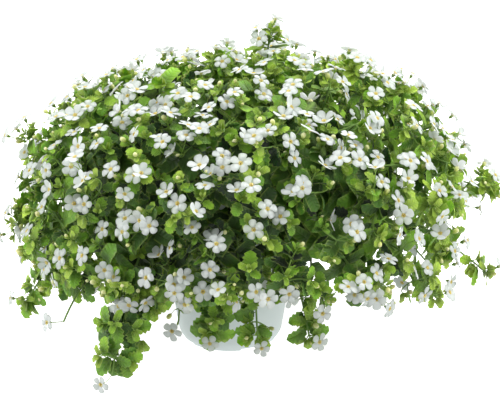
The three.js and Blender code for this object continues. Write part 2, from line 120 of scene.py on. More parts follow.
camera = bpy.data.objects.new("camera", bpy.data.cameras.new("camera"))
camera.data.sensor_width = SENSOR_WIDTH
camera.data.lens = SENSOR_WIDTH * CAMERA_DISTANCE / (PHOTO_WIDTH * PIXEL)
towards_camera = np.array([0, -np.cos(CAMERA_ELEVATION), np.sin(CAMERA_ELEVATION)])
camera.location = AIM + CAMERA_DISTANCE * towards_camera
camera.rotation_euler = (np.pi / 2 - CAMERA_ELEVATION, 0, 0)
bpy.context.scene.collection.objects.link(camera)
bpy.context.scene.camera = camera
print(f"camera with a {camera.data.lens:.0f} mm lens")

# %% [markdown]
# A plant on a white ground is lit from all round. To the plant the world is a soft dome, bright
# overhead and, like a white sweep, below, and dim near the horizon, so that the gaps between the
# leaves stay dark. To the camera it is pure white. Four large soft lamps give the leaves their
# shape: one high at the right, one at the left, one low at the right and one high behind.

# %% World and lamps
# Grey of the sky by height: 0 is straight down, 0.5 the horizon and 1 straight up.
SKY_STOPS = [(0.35, 0.88), (0.56, 0.24), (1.0, 0.85)]
LAMPS = {
    "key_lamp": {"place": (1.7, -0.6, 2.1), "size": 1.0, "power": 39},
    "fill_lamp": {"place": (-2.1, -0.4, 1.2), "size": 1.5, "power": 42},
    "low_lamp": {"place": (1.9, -1.2, 0.35), "size": 1.0, "power": 13},
    "back_lamp": {"place": (0.5, 1.3, 2.2), "size": 1.2, "power": 38},
}

world = bpy.data.worlds.new("studio")
bpy.context.scene.world = world
world.use_nodes = True
sky = world.node_tree
sky_nodes = {name: sky.nodes.new("ShaderNode" + name) for name in
             ("TexCoord", "SeparateXYZ", "MapRange", "ValToRGB", "LightPath", "Mix")}
sky_nodes["MapRange"].inputs["From Min"].default_value = -1
sky.links.new(sky_nodes["TexCoord"].outputs["Generated"], sky_nodes["SeparateXYZ"].inputs[0])
sky.links.new(sky_nodes["SeparateXYZ"].outputs["Z"], sky_nodes["MapRange"].inputs["Value"])
sky.links.new(sky_nodes["MapRange"].outputs[0], sky_nodes["ValToRGB"].inputs["Fac"])
elements = sky_nodes["ValToRGB"].color_ramp.elements
elements.new(0.5)
for element, (place, grey) in zip(elements, SKY_STOPS):
    element.position = place
    element.color = (grey, grey, grey, 1)
sky_nodes["Mix"].data_type = "FLOAT"
sky_nodes["Mix"].inputs["B"].default_value = 1
sky.links.new(sky_nodes["LightPath"].outputs["Is Camera Ray"], sky_nodes["Mix"].inputs["Factor"])
sky.links.new(sky_nodes["ValToRGB"].outputs["Color"], sky_nodes["Mix"].inputs["A"])
sky.links.new(sky_nodes["Mix"].outputs[0], sky.nodes["Background"].inputs["Color"])
bpy.context.scene.view_settings.view_transform = "Standard"

for name, lamp in LAMPS.items():
    light = bpy.data.objects.new(name, bpy.data.lights.new(name, "AREA"))
    light.data.shape = "DISK"
    light.data.size = lamp["size"]
    light.data.energy = lamp["power"]
    place = np.array(lamp["place"])
    light.location = place
    backwards = unit(place - AIM)
    light.rotation_euler = (
        np.arccos(backwards[2]),
        0,
        np.arctan2(backwards[1], backwards[0]) + np.pi / 2,
    )
    bpy.context.scene.collection.objects.link(light)
print(len(LAMPS), "lamps and a sky of", len(SKY_STOPS), "greys")

# %% [markdown]
# ## Skins: one way to make every organ
#
# A leaf, a petal, a stem and a bud have one thing in common: each is a closed loop of points that
# is carried along a path and closed at both ends with one point. The faces are the same for
# all of them, so hundreds of leaves are one array of points, with the same faces repeated.

# %% Faces of a skin
SHARP_ANGLE = np.radians(55)


def skin_faces(rows, columns):
    """Faces of a closed skin. Point (row, column) has the number row * columns + column, and the
    two end points come last. Loops run anticlockwise seen from the far end, so faces look out."""
    row, column = np.meshgrid(np.arange(rows - 1), np.arange(columns), indexing="ij")
    following = (column + 1) % columns
    corners = (row, column), (row, following), (row + 1, following), (row + 1, column)
    quads = np.stack([r * columns + c for r, c in corners], axis=-1).reshape(-1, 4)
    here = np.arange(columns)
    there = (here + 1) % columns
    last = (rows - 1) * columns
    start = np.full(columns, rows * columns)
    caps = [
        np.stack([start, there, here], axis=-1),
        np.stack([start + 1, last + here, last + there], axis=-1),
    ]
    return quads, np.concatenate(caps)


def skin(rings, ends, **values):
    """A skin of many alike organs. The rings have the shape (organ, row, column, 3) and the ends
    (organ, 2, 3). Each value is an array that spreads to (organ, row * columns + 2)."""
    count, rows, columns = rings.shape[:3]
    points = np.concatenate([rings.reshape(count, -1, 3), ends], axis=1)
    spread = {
        name: np.broadcast_to(value, points.shape[:2] + value.shape[2:])
        for name, value in values.items()
    }
    return {"points": points, "faces": skin_faces(rows, columns), "values": spread}


def piece(name, skins, material, replaces=()):
    """One object from several skins: all their points, faces, UV maps and named values."""
    points, quads, triangles, offset = [], [], [], 0
    for part in skins:
        count, size = part["points"].shape[:2]
        starts = offset + size * np.arange(count)[:, None, None]
        points.append(part["points"].reshape(-1, 3))
        quads.append((part["faces"][0] + starts).reshape(-1, 4))
        triangles.append((part["faces"][1] + starts).reshape(-1, 3))
        offset += count * size
    faces = np.concatenate(quads).tolist() + np.concatenate(triangles).tolist()
    mesh = bpy.data.meshes.new(name)
    mesh.from_pydata(np.concatenate(points) * MM, [], faces)
    for label in skins[0]["values"]:
        arrays = [part["values"][label] for part in skins]
        value = np.concatenate([array.reshape((-1,) + array.shape[2:]) for array in arrays])
        if label == "uv":
            corners = np.zeros(len(mesh.loops), np.int32)
            mesh.loops.foreach_get("vertex_index", corners)
            layer = mesh.uv_layers.new(name="pattern")
            layer.data.foreach_set("uv", value[corners].ravel())
        else:
            attribute = mesh.attributes.new(label, "FLOAT", "POINT")
            attribute.data.foreach_set("value", value.astype(np.float32).ravel())
    mesh.shade_smooth()
    mesh.set_sharp_from_angle(angle=SHARP_ANGLE)
    mesh.materials.append(material)
    made = bpy.data.objects.new(name, mesh)
    bpy.context.scene.collection.objects.link(made)
    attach(made, "root")
    if replaces:
        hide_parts(*replaces)
    return made


print("a skin of 3 rows and 6 columns has", sum(len(f) for f in skin_faces(3, 6)), "faces")

# %% [markdown]
# A tube is a ring carried along a curve, and a turned shape is a ring whose radius follows a
# profile. Both are skins. The tube's rings stand square to the curve: one direction is found
# for the whole curve, and at each point it is laid flat against the curve's heading.

# %% Tubes and turned shapes
def headings(paths):
    """The unit direction of travel at each point, from the differences of its neighbours."""
    return unit(np.gradient(paths, axis=-2))


def tubes(paths, radii, columns, **values):
    """Tubes along paths of the shape (tube, row, 3): centre + radius (across cos + over sin),
    where across is square to the heading. They end in blunt points a radius further on."""
    forward = headings(paths)
    chord = unit(paths[:, -1] - paths[:, 0])
    reference = axes_around(chord)[0][:, None, :]
    across = unit(reference - dot(reference, forward) * forward)
    over = np.cross(forward, across)
    angle = TURN * np.arange(columns) / columns
    radii = np.broadcast_to(radii, paths.shape[:2])
    around = turned(angle, across[:, :, None, :], over[:, :, None, :])
    rings = paths[:, :, None, :] + radii[:, :, None, None] * around
    ends = np.stack(
        [
            paths[:, 0] - radii[:, :1] * forward[:, 0],
            paths[:, -1] + radii[:, -1:] * forward[:, -1],
        ],
        axis=1,
    )
    return skin(rings, ends, **values)


def turned_shapes(origins, axes, profile, columns, sizes=1.0, wave=None, **values):
    """Shapes turned about an axis: origin + size (height axis + radius (across cos + over sin)).
    The profile lists (radius, height) and starts and ends on the axis. A wave, if given, is an
    array (row, column) that is added to the heights."""
    profile = np.asarray(profile, float)
    across, over = axes_around(axes)
    angle = TURN * np.arange(columns) / columns
    around = turned(angle, across[:, None, :], over[:, None, :])
    sizes = np.broadcast_to(sizes, len(origins))[:, None, None, None]
    middle = profile[1:-1]
    heights = middle[:, 1:] + (0 if wave is None else wave)
    heights = np.broadcast_to(heights, (len(middle), columns))
    rings = origins[:, None, None, :] + sizes * (
        heights[None, :, :, None] * axes[:, None, None, :]
        + middle[None, :, :1, None] * around[:, None, :, :]
    )
    ends = origins[:, None, :] + sizes[:, 0] * profile[[0, -1], 1][None, :, None] * axes[:, None, :]
    return skin(rings, ends, **values)


# %% [markdown]
# ## Where everything grows
#
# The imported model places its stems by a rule, and the same rule is repeated here, so that the fine
# plant grows on the same lines. The mound is a dome that is squarer than a sphere, with a
# skirt that hangs lower at the sides. Points are spread over it a golden angle apart.

# %% The mound
MOUND_TOP = 296
MOUND_WAIST = 132
MOUND_RADIUS = 224
MOUND_LEAN = 14
MOUND_SPREAD = 9
MOUND_SQUARENESS = 0.78
MOUND_TOP_SHIFT = 16
OUTWARD_STEEPNESS = 1.35
SKIRT_DROP = 52
SKIRT_SIDE_DROP = 62
LOWEST_TUFT = np.radians(118)
LATTICE_POWER = 1.06
GOLDEN_ANGLE = np.pi * (3 - np.sqrt(5))


def outward_at(points):
    """The way out of the mound: from its waist on the pot's axis, steeper by 1.35 in height."""
    return unit((points - MOUND_WAIST * UP) * np.array([1, 1, OUTWARD_STEEPNESS]))


def mound_points(theta, phi, inset):
    """Points of the mound at angles from its top and round from +X. The radius is the reach times
    sin(theta) to the power 0.78, and the height follows cos(theta) in the same way."""
    rise = np.cos(theta)
    level = np.sign(rise) * np.abs(rise) ** MOUND_SQUARENESS
    skirt = SKIRT_DROP + SKIRT_SIDE_DROP * np.cos(phi) ** 2
    reach = MOUND_RADIUS + MOUND_LEAN * np.cos(phi) + MOUND_SPREAD * np.cos(2 * phi)
    radius = reach * np.sin(theta) ** MOUND_SQUARENESS
    height = np.where(rise > 0, MOUND_TOP - MOUND_WAIST, skirt)
    x = radius * np.cos(phi) + MOUND_TOP_SHIFT * np.maximum(level, 0)
    points = np.stack([x, radius * np.sin(phi), MOUND_WAIST + height * level], axis=-1)
    return points - np.asarray(inset)[..., None] * outward_at(points)


def lattice(count):
    """Angles (theta, phi) spread evenly over the mound, each a golden angle round from the last."""
    step = np.arange(count)
    share = ((step + 0.5) / count) ** LATTICE_POWER
    return np.arccos(1 - (1 - np.cos(LOWEST_TUFT)) * share), (step * GOLDEN_ANGLE) % TURN


print("the mound's top is at", mound_points(np.zeros(1), np.zeros(1), 0)[0].round(1), "mm")

# %% [markdown]
# A tuft is the leafy tip of a shoot. The model has 108 on the mound and six that stand out of it,
# and each is fed by the stem whose own stretch of the mound is nearest. A stem rises from the
# soil, arches over the rim and ends at its first tuft. Side shoots run from a joint in it to
# its other tufts.

# %% Stems and their tufts
STEMS = 42
TUFTS = 108
TUFT_INSET = 21
TUFT_LIFT = 0.3
STRAYS = [
    [38, 12, 300],
    [124, -8, 276],
    [104, 44, 262],
    [250, -16, 164],
    [-196, -16, 214],
    [-210, -10, 122],
]
SOIL_TOP = 100
ROOT_HEIGHT = SOIL_TOP - 12
ROOT_SPREAD = 48
BRANCH_AT = 0.62
ROOT_POWER = 0.75
RISE_SHARE = 0.08
RISE_LEAST = 40
RISE_GAIN = 0.3
BEND_SHARE = 0.7
BEND_LIFT = 48
BEND_FLATTENING = 105
STEM_POINTS = 34

tuft_points = np.concatenate([mound_points(*lattice(TUFTS), TUFT_INSET), np.array(STRAYS, float)])
tuft_axes = unit(outward_at(tuft_points) + TUFT_LIFT * UP)
stem_theta, stem_phi = lattice(STEMS)
stem_middles = mound_points(stem_theta, stem_phi, TUFT_INSET)
tuft_reach = np.linalg.norm(tuft_points[:, None] - stem_middles[None], axis=-1)
tuft_stem = np.argmin(tuft_reach, axis=1)


def tufts_of(stem):
    """The numbers of a stem's tufts, with the nearest to its middle first."""
    own = np.flatnonzero(tuft_stem == stem)
    return own[np.argsort(tuft_reach[own, stem], kind="stable")]


def stem_route(stem):
    """A stem's Bezier curve: root, a point above it, a point over the bend, and its first tuft."""
    end = tuft_points[tufts_of(stem)[0]]
    theta, phi = stem_theta[stem], stem_phi[stem]
    radius = ROOT_SPREAD * (theta / LOWEST_TUFT) ** ROOT_POWER
    root = np.array([radius * np.cos(phi), radius * np.sin(phi), ROOT_HEIGHT])
    rise = root + RISE_SHARE * (end - root)
    rise[2] = SOIL_TOP + RISE_LEAST + RISE_GAIN * max(end[2] - SOIL_TOP, 0)
    bend = root + BEND_SHARE * (end - root)
    bend[2] = end[2] + BEND_LIFT - BEND_FLATTENING * np.cos(theta)
    return [root, rise, bend, end]


stem_routes = np.array([stem_route(stem) for stem in range(STEMS)])
print(len(tuft_points), "tufts on", STEMS, "stems")

# %% [markdown]
# Thirteen longer shoots trail over the rim. Each is a runner that rises steeply behind the rim,
# arches over a point and hangs down to its tip.

# %% Runners
RUNNER_ROOT_RADIUS = 55
RUNNER_RISE = 100
RUNNERS = [
    {"over": [176, -44, 150], "tip": [248, -62, 92], "turn": 0},
    {"over": [150, -80, 140], "tip": [196, -108, 82], "turn": 0},
    {"over": [116, -102, 138], "tip": [146, -134, 84], "turn": 0},
    {"over": [62, -104, 130], "tip": [76, -128, 50], "turn": 0},
    {"over": [24, -106, 132], "tip": [27, -124, 48], "turn": 0},
    {"over": [-14, -108, 132], "tip": [-16, -128, 52], "turn": 0},
    {"over": [-44, -104, 132], "tip": [-48, -120, 62], "turn": 0},
    {"over": [-92, -150, 132], "tip": [-108, -184, 32], "turn": -4},
    {"over": [-128, -110, 132], "tip": [-156, -134, 66], "turn": 4},
    {"over": [-160, -58, 132], "tip": [-196, -70, 66], "turn": 0},
    {"over": [-150, 90, 132], "tip": [-178, 108, 66], "turn": 0},
    {"over": [-30, 150, 132], "tip": [-40, 186, 62], "turn": -4},
    {"over": [110, 130, 132], "tip": [138, 160, 60], "turn": 8},
]
RUNNER_JOINTS = [0.56, 0.78, 1]


def runner_route(over, tip, turn):
    """A runner's Bezier curve: root, a point 100 mm above the soil, the arch and the tip."""
    angle = np.arctan2(over[1], over[0]) + np.radians(turn)
    radius = RUNNER_ROOT_RADIUS
    root = np.array([np.cos(angle) * radius, np.sin(angle) * radius, ROOT_HEIGHT])
    return [root, root * [1, 1, 0] + (SOIL_TOP + RUNNER_RISE) * UP, over, tip]


runner_routes = np.array([runner_route(**runner) for runner in RUNNERS])
node_names = [f"leafy_stem_{k + 1:02d}" for k in range(STEMS)]
node_names += [f"runner_{k + 1:02d}" for k in range(len(RUNNERS))]
print(len(node_names), "stems and runners")

# %% [markdown]
# ## Flowers where the model has them
#
# The model tries up to ten places for each flower and keeps the first that is clear. The draws
# come from a small generator that is easy to repeat: each state is the last times 1664525 plus
# 1013904223, kept to 32 bits. The place that was kept is known by the five notches between its
# lobes: they are points of the node, 4.4 mm from the flower's middle.

# %% Draws and notches
NOTCH_RADIUS = 4.4
LOBES = 5
MATCH = 0.04
WORD = 2**32


def drawer(seed):
    """A function that gives the next draw between 0 and 1 each time it is called."""
    state = (seed * 7919 + 12345) % WORD

    def draw():
        nonlocal state
        state = (state * 1664525 + 1013904223) % WORD
        return state / WORD

    draw()
    draw()
    return draw


def node_points(name):
    """A node's points, in millimetres."""
    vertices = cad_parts[name].data.vertices
    flat = np.zeros(3 * len(vertices))
    vertices.foreach_get("co", flat)
    return flat.reshape(-1, 3) / MM


def notch_angle(points, centre, facing):
    """The angle of a flower's first notch, or None if the node has no flower there."""
    offset = points - centre
    near = np.abs(np.linalg.norm(offset, axis=1) - NOTCH_RADIUS) < MATCH
    flat = np.abs(offset @ facing) < MATCH
    found = offset[near & flat]
    if len(found) < LOBES:
        return None
    across, over = axes_around(facing)
    return np.arctan2(found[0] @ over, found[0] @ across)


# %% [markdown]
# A tuft has one flower or two on opposite sides, ahead of it and a little to the side. A runner has
# one at most of its joints, on the upper side. Lengths and leans are a least value and a range
# that a draw is a share of.

# %% Flowers of the stems and runners
FLOWER_TRIES = 10
TWIN_SHARE = 0.6
TUFT_AHEAD = 15, 6
TUFT_ASIDE = 11, 5
TUFT_LEAN = 0.15, 0.45
RUNNER_STEPS = 1000
RUNNER_BLOOM_SHARE = 0.7
RUNNER_ASIDE = 15, 4
RUNNER_AHEAD = 6, 4
RUNNER_SKY = 0.8
RUNNER_FACE_LEAN = 0.3
CUP_RANGE = 1.4
CUP_DOWN = 0.6
blooms = []


def drawn(draw, least, more):
    """A drawn value: least + more times the next draw."""
    return least + more * draw()


def keep_bloom(points, node, start, centre, facing, cup):
    """Adds a flower to the list if the node has one at that place."""
    notch = notch_angle(points, centre, facing)
    if notch is None:
        return False
    blooms.append({"node": node, "start": start, "centre": centre, "facing": facing,
                   "cup": cup, "notch": notch})
    return True


def find_tuft_blooms(points, node, tuft, seed):
    """Repeats the draws for one tuft. A flower is 15 to 21 mm ahead of its tuft, to one side."""
    draw = drawer(seed)
    point, axis = tuft_points[tuft], tuft_axes[tuft]
    across, over = axes_around(axis)
    count = 2 if draw() < TWIN_SHARE else 1
    turn = TURN * draw()
    for k in range(count):
        for attempt in range(FLOWER_TRIES):
            lean = turned(turn + k * np.pi + (1 + attempt / 2) * (draw() - 0.5), across, over)
            centre = point + axis * drawn(draw, *TUFT_AHEAD) + lean * drawn(draw, *TUFT_ASIDE)
            facing = unit(axis + lean * drawn(draw, *TUFT_LEAN))
            cup = CUP_RANGE * (draw() - CUP_DOWN)
            if keep_bloom(points, node, point, centre, facing, cup):
                break


def find_runner_blooms(points, node, route, seed):
    """Repeats the draws for one runner: a flower stands on the upper side of a joint."""
    draw = drawer(seed)
    path = bezier(route, RUNNER_STEPS + 1)
    forward = headings(path)
    for share in RUNNER_JOINTS:
        if share == 1 or draw() < RUNNER_BLOOM_SHARE:
            at = round(share * RUNNER_STEPS)
            point, axis = path[at], forward[at]
            sky = UP + RUNNER_SKY * outward_at(point)
            side = unit(sky - (sky @ axis) * axis)
            centre = point + side * drawn(draw, *RUNNER_ASIDE) + axis * drawn(draw, *RUNNER_AHEAD)
            facing = unit(side + RUNNER_FACE_LEAN * axis)
            cup = CUP_RANGE * (draw() - CUP_DOWN)
            keep_bloom(points, node, point, centre, facing, cup)


for stem in range(STEMS):
    own_points = node_points(node_names[stem])
    for k, tuft in enumerate(tufts_of(stem)):
        find_tuft_blooms(own_points, stem, tuft, 100 * stem + k)
for runner, route in enumerate(runner_routes):
    own_points = node_points(node_names[STEMS + runner])
    find_runner_blooms(own_points, STEMS + runner, route, 9000 + 10 * runner)
print(len(blooms), "flowers found in the model")

# %% [markdown]
# ## Shoots
#
# A tuft looks like one thing from a step away, but it is several short shoots. Here 590 places
# for shoot tips are spread over the mound by the same lattice, a little unevenly, and each grows
# out of the nearest tuft. A tuft's shoots make a clump: some clumps stand out and some lie back,
# the shoots at a clump's edge lie deeper, and about a third of all shoots lie deeper still, so
# there are dark creases and gaps. The mound is a little flatter at its top and more so on its
# right shoulder and at the top left. It has two hollows in its front, and is drawn in at three
# places of its lower edge.
#
# In thin spots a share of the shoots is missing. Bare spots are small balls of air that no leaf
# reaches into: through them the photograph shows the pot, or white between the hanging shoots.

# %% Shoot tips on the mound
SHOOTS = 590
CLUMP_RADIUS = 30
CLUMP_DEPTH = 10
DEEP_SHARE = 0.35
DEEP_INSETS = 6, 16
CLUMP_INSETS = -7, 8
SHOOT_INSETS = -4, 6
EVEN_INSET = 12
THETA_SCATTER = 0.03
PHI_SCATTER = 0.025
WAY_LIFT = 0.25
WAY_SCATTER = 0.28
HOLLOWS = [
    {"theta": 50, "phi": 5, "wide": 22, "round": 48, "deep": 19},
    {"theta": 20, "phi": 165, "wide": 15, "round": 80, "deep": 14},
    {"theta": 10, "phi": 0, "wide": 40, "round": 400, "deep": 5},
    {"theta": 112, "phi": -8, "wide": 14, "round": 36, "deep": 18},
    {"theta": 112, "phi": 185, "wide": 14, "round": 32, "deep": 11},
    {"theta": 114, "phi": -92, "wide": 13, "round": 26, "deep": 15},
    {"theta": 86, "phi": -98, "wide": 9, "round": 18, "deep": 12},
    {"theta": 74, "phi": -70, "wide": 8, "round": 14, "deep": 13},
]
rng = np.random.default_rng(23)


def hollow_depth(theta, phi):
    """How far the mound lies inside its rule: a sum of bumps exp(-a a - b b) of the two angles."""
    depth = 0
    for hollow in HOLLOWS:
        down = (np.degrees(theta) - hollow["theta"]) / hollow["wide"]
        turn = (np.degrees(phi) - hollow["phi"] + 180) % 360 - 180
        depth = depth + hollow["deep"] * np.exp(-(down**2) - (turn / hollow["round"]) ** 2)
    return depth


THIN_SPOTS = [
    {"at": [200, -70, 92], "size": 68, "share": 0.86},
    {"at": [-188, -90, 82], "size": 48, "share": 0.55},
    {"at": [80, -160, 92], "size": 42, "share": 0.6},
    {"at": [-60, -165, 92], "size": 38, "share": 0.5},
    {"at": [212, 10, 215], "size": 40, "share": 0.4},
    {"at": [50, -122, 72], "size": 24, "share": 0.9},
    {"at": [212, 30, 88], "size": 40, "share": 0.85},
    {"at": [178, 10, 250], "size": 30, "share": 0.5},
]


def thinness(points):
    """The share of shoots, plain leaves and added flowers that is missing at a place: 1 less
    the product of 1 - share exp(-(distance / size)^2) over the thin spots."""
    left = 1
    for spot in THIN_SPOTS:
        distance = np.linalg.norm(points - np.array(spot["at"]), axis=-1)
        left = left * (1 - spot["share"] * np.exp(-((distance / spot["size"]) ** 2)))
    return 1 - left


BARE_SPOTS = [
    ([-52, -118, 60], 17),
    ([50, -112, 66], 20),
    ([220, -50, 116], 18),
    ([78, -125, 116], 15),
    ([142, -130, 74], 17),
    ([-158, -136, 60], 16),
]


def is_bare(points, margin=0):
    """Whether places lie in one of the bare spots, or within a margin of it."""
    gaps = [
        np.linalg.norm(points - np.array(place), axis=-1) - reach for place, reach in BARE_SPOTS
    ]
    return np.min(gaps, axis=0) < margin


shoot_theta, shoot_phi = lattice(SHOOTS)
shoot_theta = np.abs(shoot_theta + rng.normal(0, THETA_SCATTER, SHOOTS))
shoot_phi = shoot_phi + rng.normal(0, PHI_SCATTER, SHOOTS)
even_tips = mound_points(shoot_theta, shoot_phi, EVEN_INSET * np.ones(SHOOTS))
tuft_reaches = np.linalg.norm(even_tips[:, None] - tuft_points[None, :TUFTS], axis=-1)
nearest_tuft = np.argmin(tuft_reaches, axis=1)
crease = np.minimum(tuft_reaches.min(axis=1) / CLUMP_RADIUS, 1) ** 2
shoot_inset = (
    rng.uniform(*CLUMP_INSETS, TUFTS)[nearest_tuft] + CLUMP_DEPTH * crease
    + rng.uniform(*SHOOT_INSETS, SHOOTS)
    + hollow_depth(shoot_theta, shoot_phi)
    + rng.uniform(*DEEP_INSETS, SHOOTS) * (rng.uniform(size=SHOOTS) < DEEP_SHARE)
)
mound_tips = mound_points(shoot_theta, shoot_phi, shoot_inset)
kept = rng.uniform(size=SHOOTS) >= thinness(mound_tips)
mound_tips, nearest_tuft, shoot_inset = mound_tips[kept], nearest_tuft[kept], shoot_inset[kept]
shoots = {
    "start": tuft_points[nearest_tuft],
    "tip": mound_tips,
    "way": unit(
        outward_at(mound_tips) + WAY_LIFT * UP + rng.normal(0, WAY_SCATTER, mound_tips.shape)
    ),
    "node": tuft_stem[nearest_tuft],
    "deep": shoot_inset,
}
print(len(mound_tips), "shoots, up to", np.bincount(nearest_tuft).max(), "in a tuft")

# %% [markdown]
# The six tufts that stand out of the mound get a sprig of shoots each, and so do seven places
# along each runner. A sprig is a few side shoots round a point, and where that is a tip also a
# leader that goes straight on. Some runners have more or fewer side shoots than the others, or
# wider or narrower sprigs, and on two runners the sprigs nearest the tip are left out.

# %% Sprigs
def add_shoots(start, tip, way, node):
    """Adds shoots to the list."""
    count = len(tip)
    fresh = {"start": np.broadcast_to(start, (count, 3)), "tip": tip, "way": unit(way),
             "node": np.full(count, node), "deep": np.zeros(count)}
    for name, value in fresh.items():
        shoots[name] = np.concatenate([shoots[name], value])


def sprig(point, axis, node, sides, reach, ahead, leader=True):
    """Side shoots with tips at point + axis ahead + lean reach, evenly round, and a leader that
    goes straight on."""
    across, over = axes_around(axis)
    angle = TURN * (np.arange(sides) / sides + rng.uniform()) + rng.normal(0, 0.25, sides)
    lean = turned(angle, across, over)
    spread = reach * rng.uniform(0.75, 1.15, (sides, 1))
    tips = point + axis * ahead * rng.uniform(0.2, 1, (sides, 1)) + lean * spread
    add_shoots(point, tips, axis * 0.7 + lean, node)
    if leader:
        tip = point + axis * ahead * rng.uniform(1.1, 1.5)
        add_shoots(point, tip[None], axis[None], node)


# Side shoots, their reach and how far ahead their tips are.
STRAY_SPRIGS = [(3, 10, 14), (4, 15, 10), (4, 15, 10), (4, 15, 10), (3, 10, 5), (4, 13, 8)]
for k, (sides, spread, ahead) in enumerate(STRAY_SPRIGS):
    tuft = TUFTS + k
    sprig(tuft_points[tuft], tuft_axes[tuft], tuft_stem[tuft], sides, spread, ahead)
# Side shoots and their reach, by the share of the runner.
RUNNER_SPRIGS = {
    0.46: (3, 20), 0.56: (3, 20), 0.66: (3, 18), 0.76: (3, 16), 0.86: (3, 13), 0.95: (2, 10),
    1: (2, 8),
}
SPRIG_AHEAD = 4
SPRIG_OUT = 0.35
LAST_FULL_SPRIG = 0.95
# Side shoots more than the others have, and how many times as wide, by the runner's number.
LEAFY_RUNNERS = {
    0: (-2, 0.7), 1: (-1, 0.8), 3: (0, 0.8), 5: (2, 1.4), 6: (-2, 0.5), 7: (3, 1.6), 8: (-1, 0.7),
    9: (0, 0.8),
}
SHORT_RUNNERS = {7: 0.96, 8: 0.8}
for runner, route in enumerate(runner_routes):
    path = bezier(route, 101)
    forward = headings(path)
    more, wider = LEAFY_RUNNERS.get(runner, (0, 1))
    for share, (sides, spread) in RUNNER_SPRIGS.items():
        if share > SHORT_RUNNERS.get(runner, 1):
            continue
        at = round(100 * share)
        sprig_axis = unit(forward[at] + SPRIG_OUT * outward_at(path[at]))
        count = sides + (more if share < LAST_FULL_SPRIG else 0)
        reach = spread * wider
        sprig(path[at], sprig_axis, STEMS + runner, count, reach, SPRIG_AHEAD, share == 1)
shoot_count = len(shoots["tip"])
shoot_length = np.linalg.norm(shoots["tip"] - shoots["start"], axis=1)
shoot_bends = shoots["tip"] - 0.5 * shoot_length[:, None] * shoots["way"]
shoot_paths = bezier(np.stack([shoots["start"], shoot_bends, shoots["tip"]], axis=1), 6)
print(shoot_count, "shoots with the sprigs")

# %% [markdown]
# ## Leaves
#
# Leaves grow in pairs, each pair turned a quarter from the last. Near the tip they are small,
# pale and folded forward, and lower down they are larger, darker and spread. A leaf turns its
# face to the light, which comes from outside the mound, a little from above, and in the front
# half from the window in front. Hanging leaves turn to it most and are coloured darker. The
# colour also holds painted light and shade: it is painted paler on the lit upper right, and
# painted darker on the front of the mound, most in old leaves. A few are missing.

# %% Pairs of leaves
LIGHT_LIFT = 0.4
WINDOW_PULL = 0.6
LIGHT_PULL = 0.55
LIGHT_PRESS = 0.45
HANGING_PULL = 1.8
HANGING_PRESS = 0.9
# Leaf colour is painted paler where the mound faces SUN, the lit upper right, and darker where it
# faces SHADE, the front: painted light and painted shade.
SUN = np.array([0.55, -0.12, 0.83])
PAINTED_SUN_LIGHT = 0.6
SHADE = np.array([0.08, -0.79, 0.61])
PAINTED_SHADE_DARKENING = 0.64
AGE_SHIFT = -0.42
HANGING_DARKENING = 0.55
WINDOW_FROM = 80
WINDOW_FULL_AT = -60
TURN_SCATTER = 0.22
TILT_SCATTER = 0.13
SIZE_RANGE = 0.82, 1.16
MISSING = 0.03
leaf_lists = {"domed": [], "toothed": [], "small": [], "plain": []}


def light_at(points):
    """Where the light comes from: out of the mound, but never from below, a little from above, and
    in the front half a little from the window in front."""
    out = outward_at(points)
    front = WINDOW_PULL * rounded_step(WINDOW_FROM, WINDOW_FULL_AT, points[..., 1:2])
    return unit(np.maximum(out, [-1, -1, 0.0]) + LIGHT_LIFT * UP - front * np.array([0, 1, 0]))


def age_at(points, ages):
    """The age of leaves at a place, with painted light and shade added: age + shift - 0.6 sun
    + 0.64 shade^2 (0.5 + age). Sun and shade are the cosines between the way out of the mound and
    the two sides: the lit upper right, where the colour is painted paler, and the front, where it
    is painted darker."""
    sun, shade = (np.clip(dot(outward_at(points), way)[..., 0], 0, 1) for way in (SUN, SHADE))
    return ages + AGE_SHIFT - PAINTED_SUN_LIGHT * sun + PAINTED_SHADE_DARKENING * shade**2 * (0.5 + ages)


def on_paths(paths, shares):
    """Points and headings of paths at shares of their length, between the nearest two points."""
    place = np.clip(shares, 0, 1) * (paths.shape[1] - 1)
    low = np.minimum(place.astype(int), paths.shape[1] - 2)
    part = (place - low)[..., None]
    rows = np.arange(len(paths))[:, None]
    forward = headings(paths)
    points = paths[rows, low] * (1 - part) + paths[rows, low + 1] * part
    return points, unit(forward[rows, low] * (1 - part) + forward[rows, low + 1] * part)


def grow_pairs(kind, paths, shares, nodes, sizes, tilts, ages, keep):
    """Adds a pair of leaves at each share of each path, where keep is true. A leaf leaves its stem
    at an angle, the tilt. Part of its way along the light is taken out of it, and its face is
    turned to the light, both most for the hanging leaves of the runners."""
    points, forward = on_paths(paths, shares)
    paths_count, pairs = shares.shape
    hanging = (nodes >= STEMS)[:, None, None]
    press = np.where(hanging, HANGING_PRESS, LIGHT_PRESS)
    pull = np.where(hanging, HANGING_PULL, LIGHT_PULL)
    first = rng.uniform(0, TURN, (paths_count, 1)) + np.pi / 2 * np.arange(pairs)
    across, over = axes_around(forward)
    for side in (0, np.pi):
        angle = first + side + rng.normal(0, TURN_SCATTER, shares.shape)
        tilt = (tilts + rng.normal(0, TILT_SCATTER, shares.shape))[..., None]
        lean = turned(angle, across, over)
        along = forward * np.cos(tilt) + lean * np.sin(tilt)
        above = forward * np.sin(tilt) - lean * np.cos(tilt)
        light = light_at(points)
        along = unit(along - press * dot(along, light) * light)
        above = above + pull * light
        above = unit(above - dot(above, along) * along)
        size = sizes * rng.uniform(*SIZE_RANGE, shares.shape)
        missing = thinness(points) if kind == "plain" else MISSING
        kept = keep & (rng.uniform(size=shares.shape) >= missing)
        leaf_lists[kind].append({
            "base": points[kept],
            "along": along[kept],
            "above": above[kept],
            "size": size[kept],
            "age": (age_at(points, ages) + HANGING_DARKENING * hanging[..., 0])[kept],
            "node": np.broadcast_to(nodes[:, None], shares.shape)[kept],
        })


# %% [markdown]
# A shoot has five pairs. The table gives each pair's distance from the tip, size, tilt and age. The
# fourth pair is domed, since it shows most, and the two at the tip are made more simply.

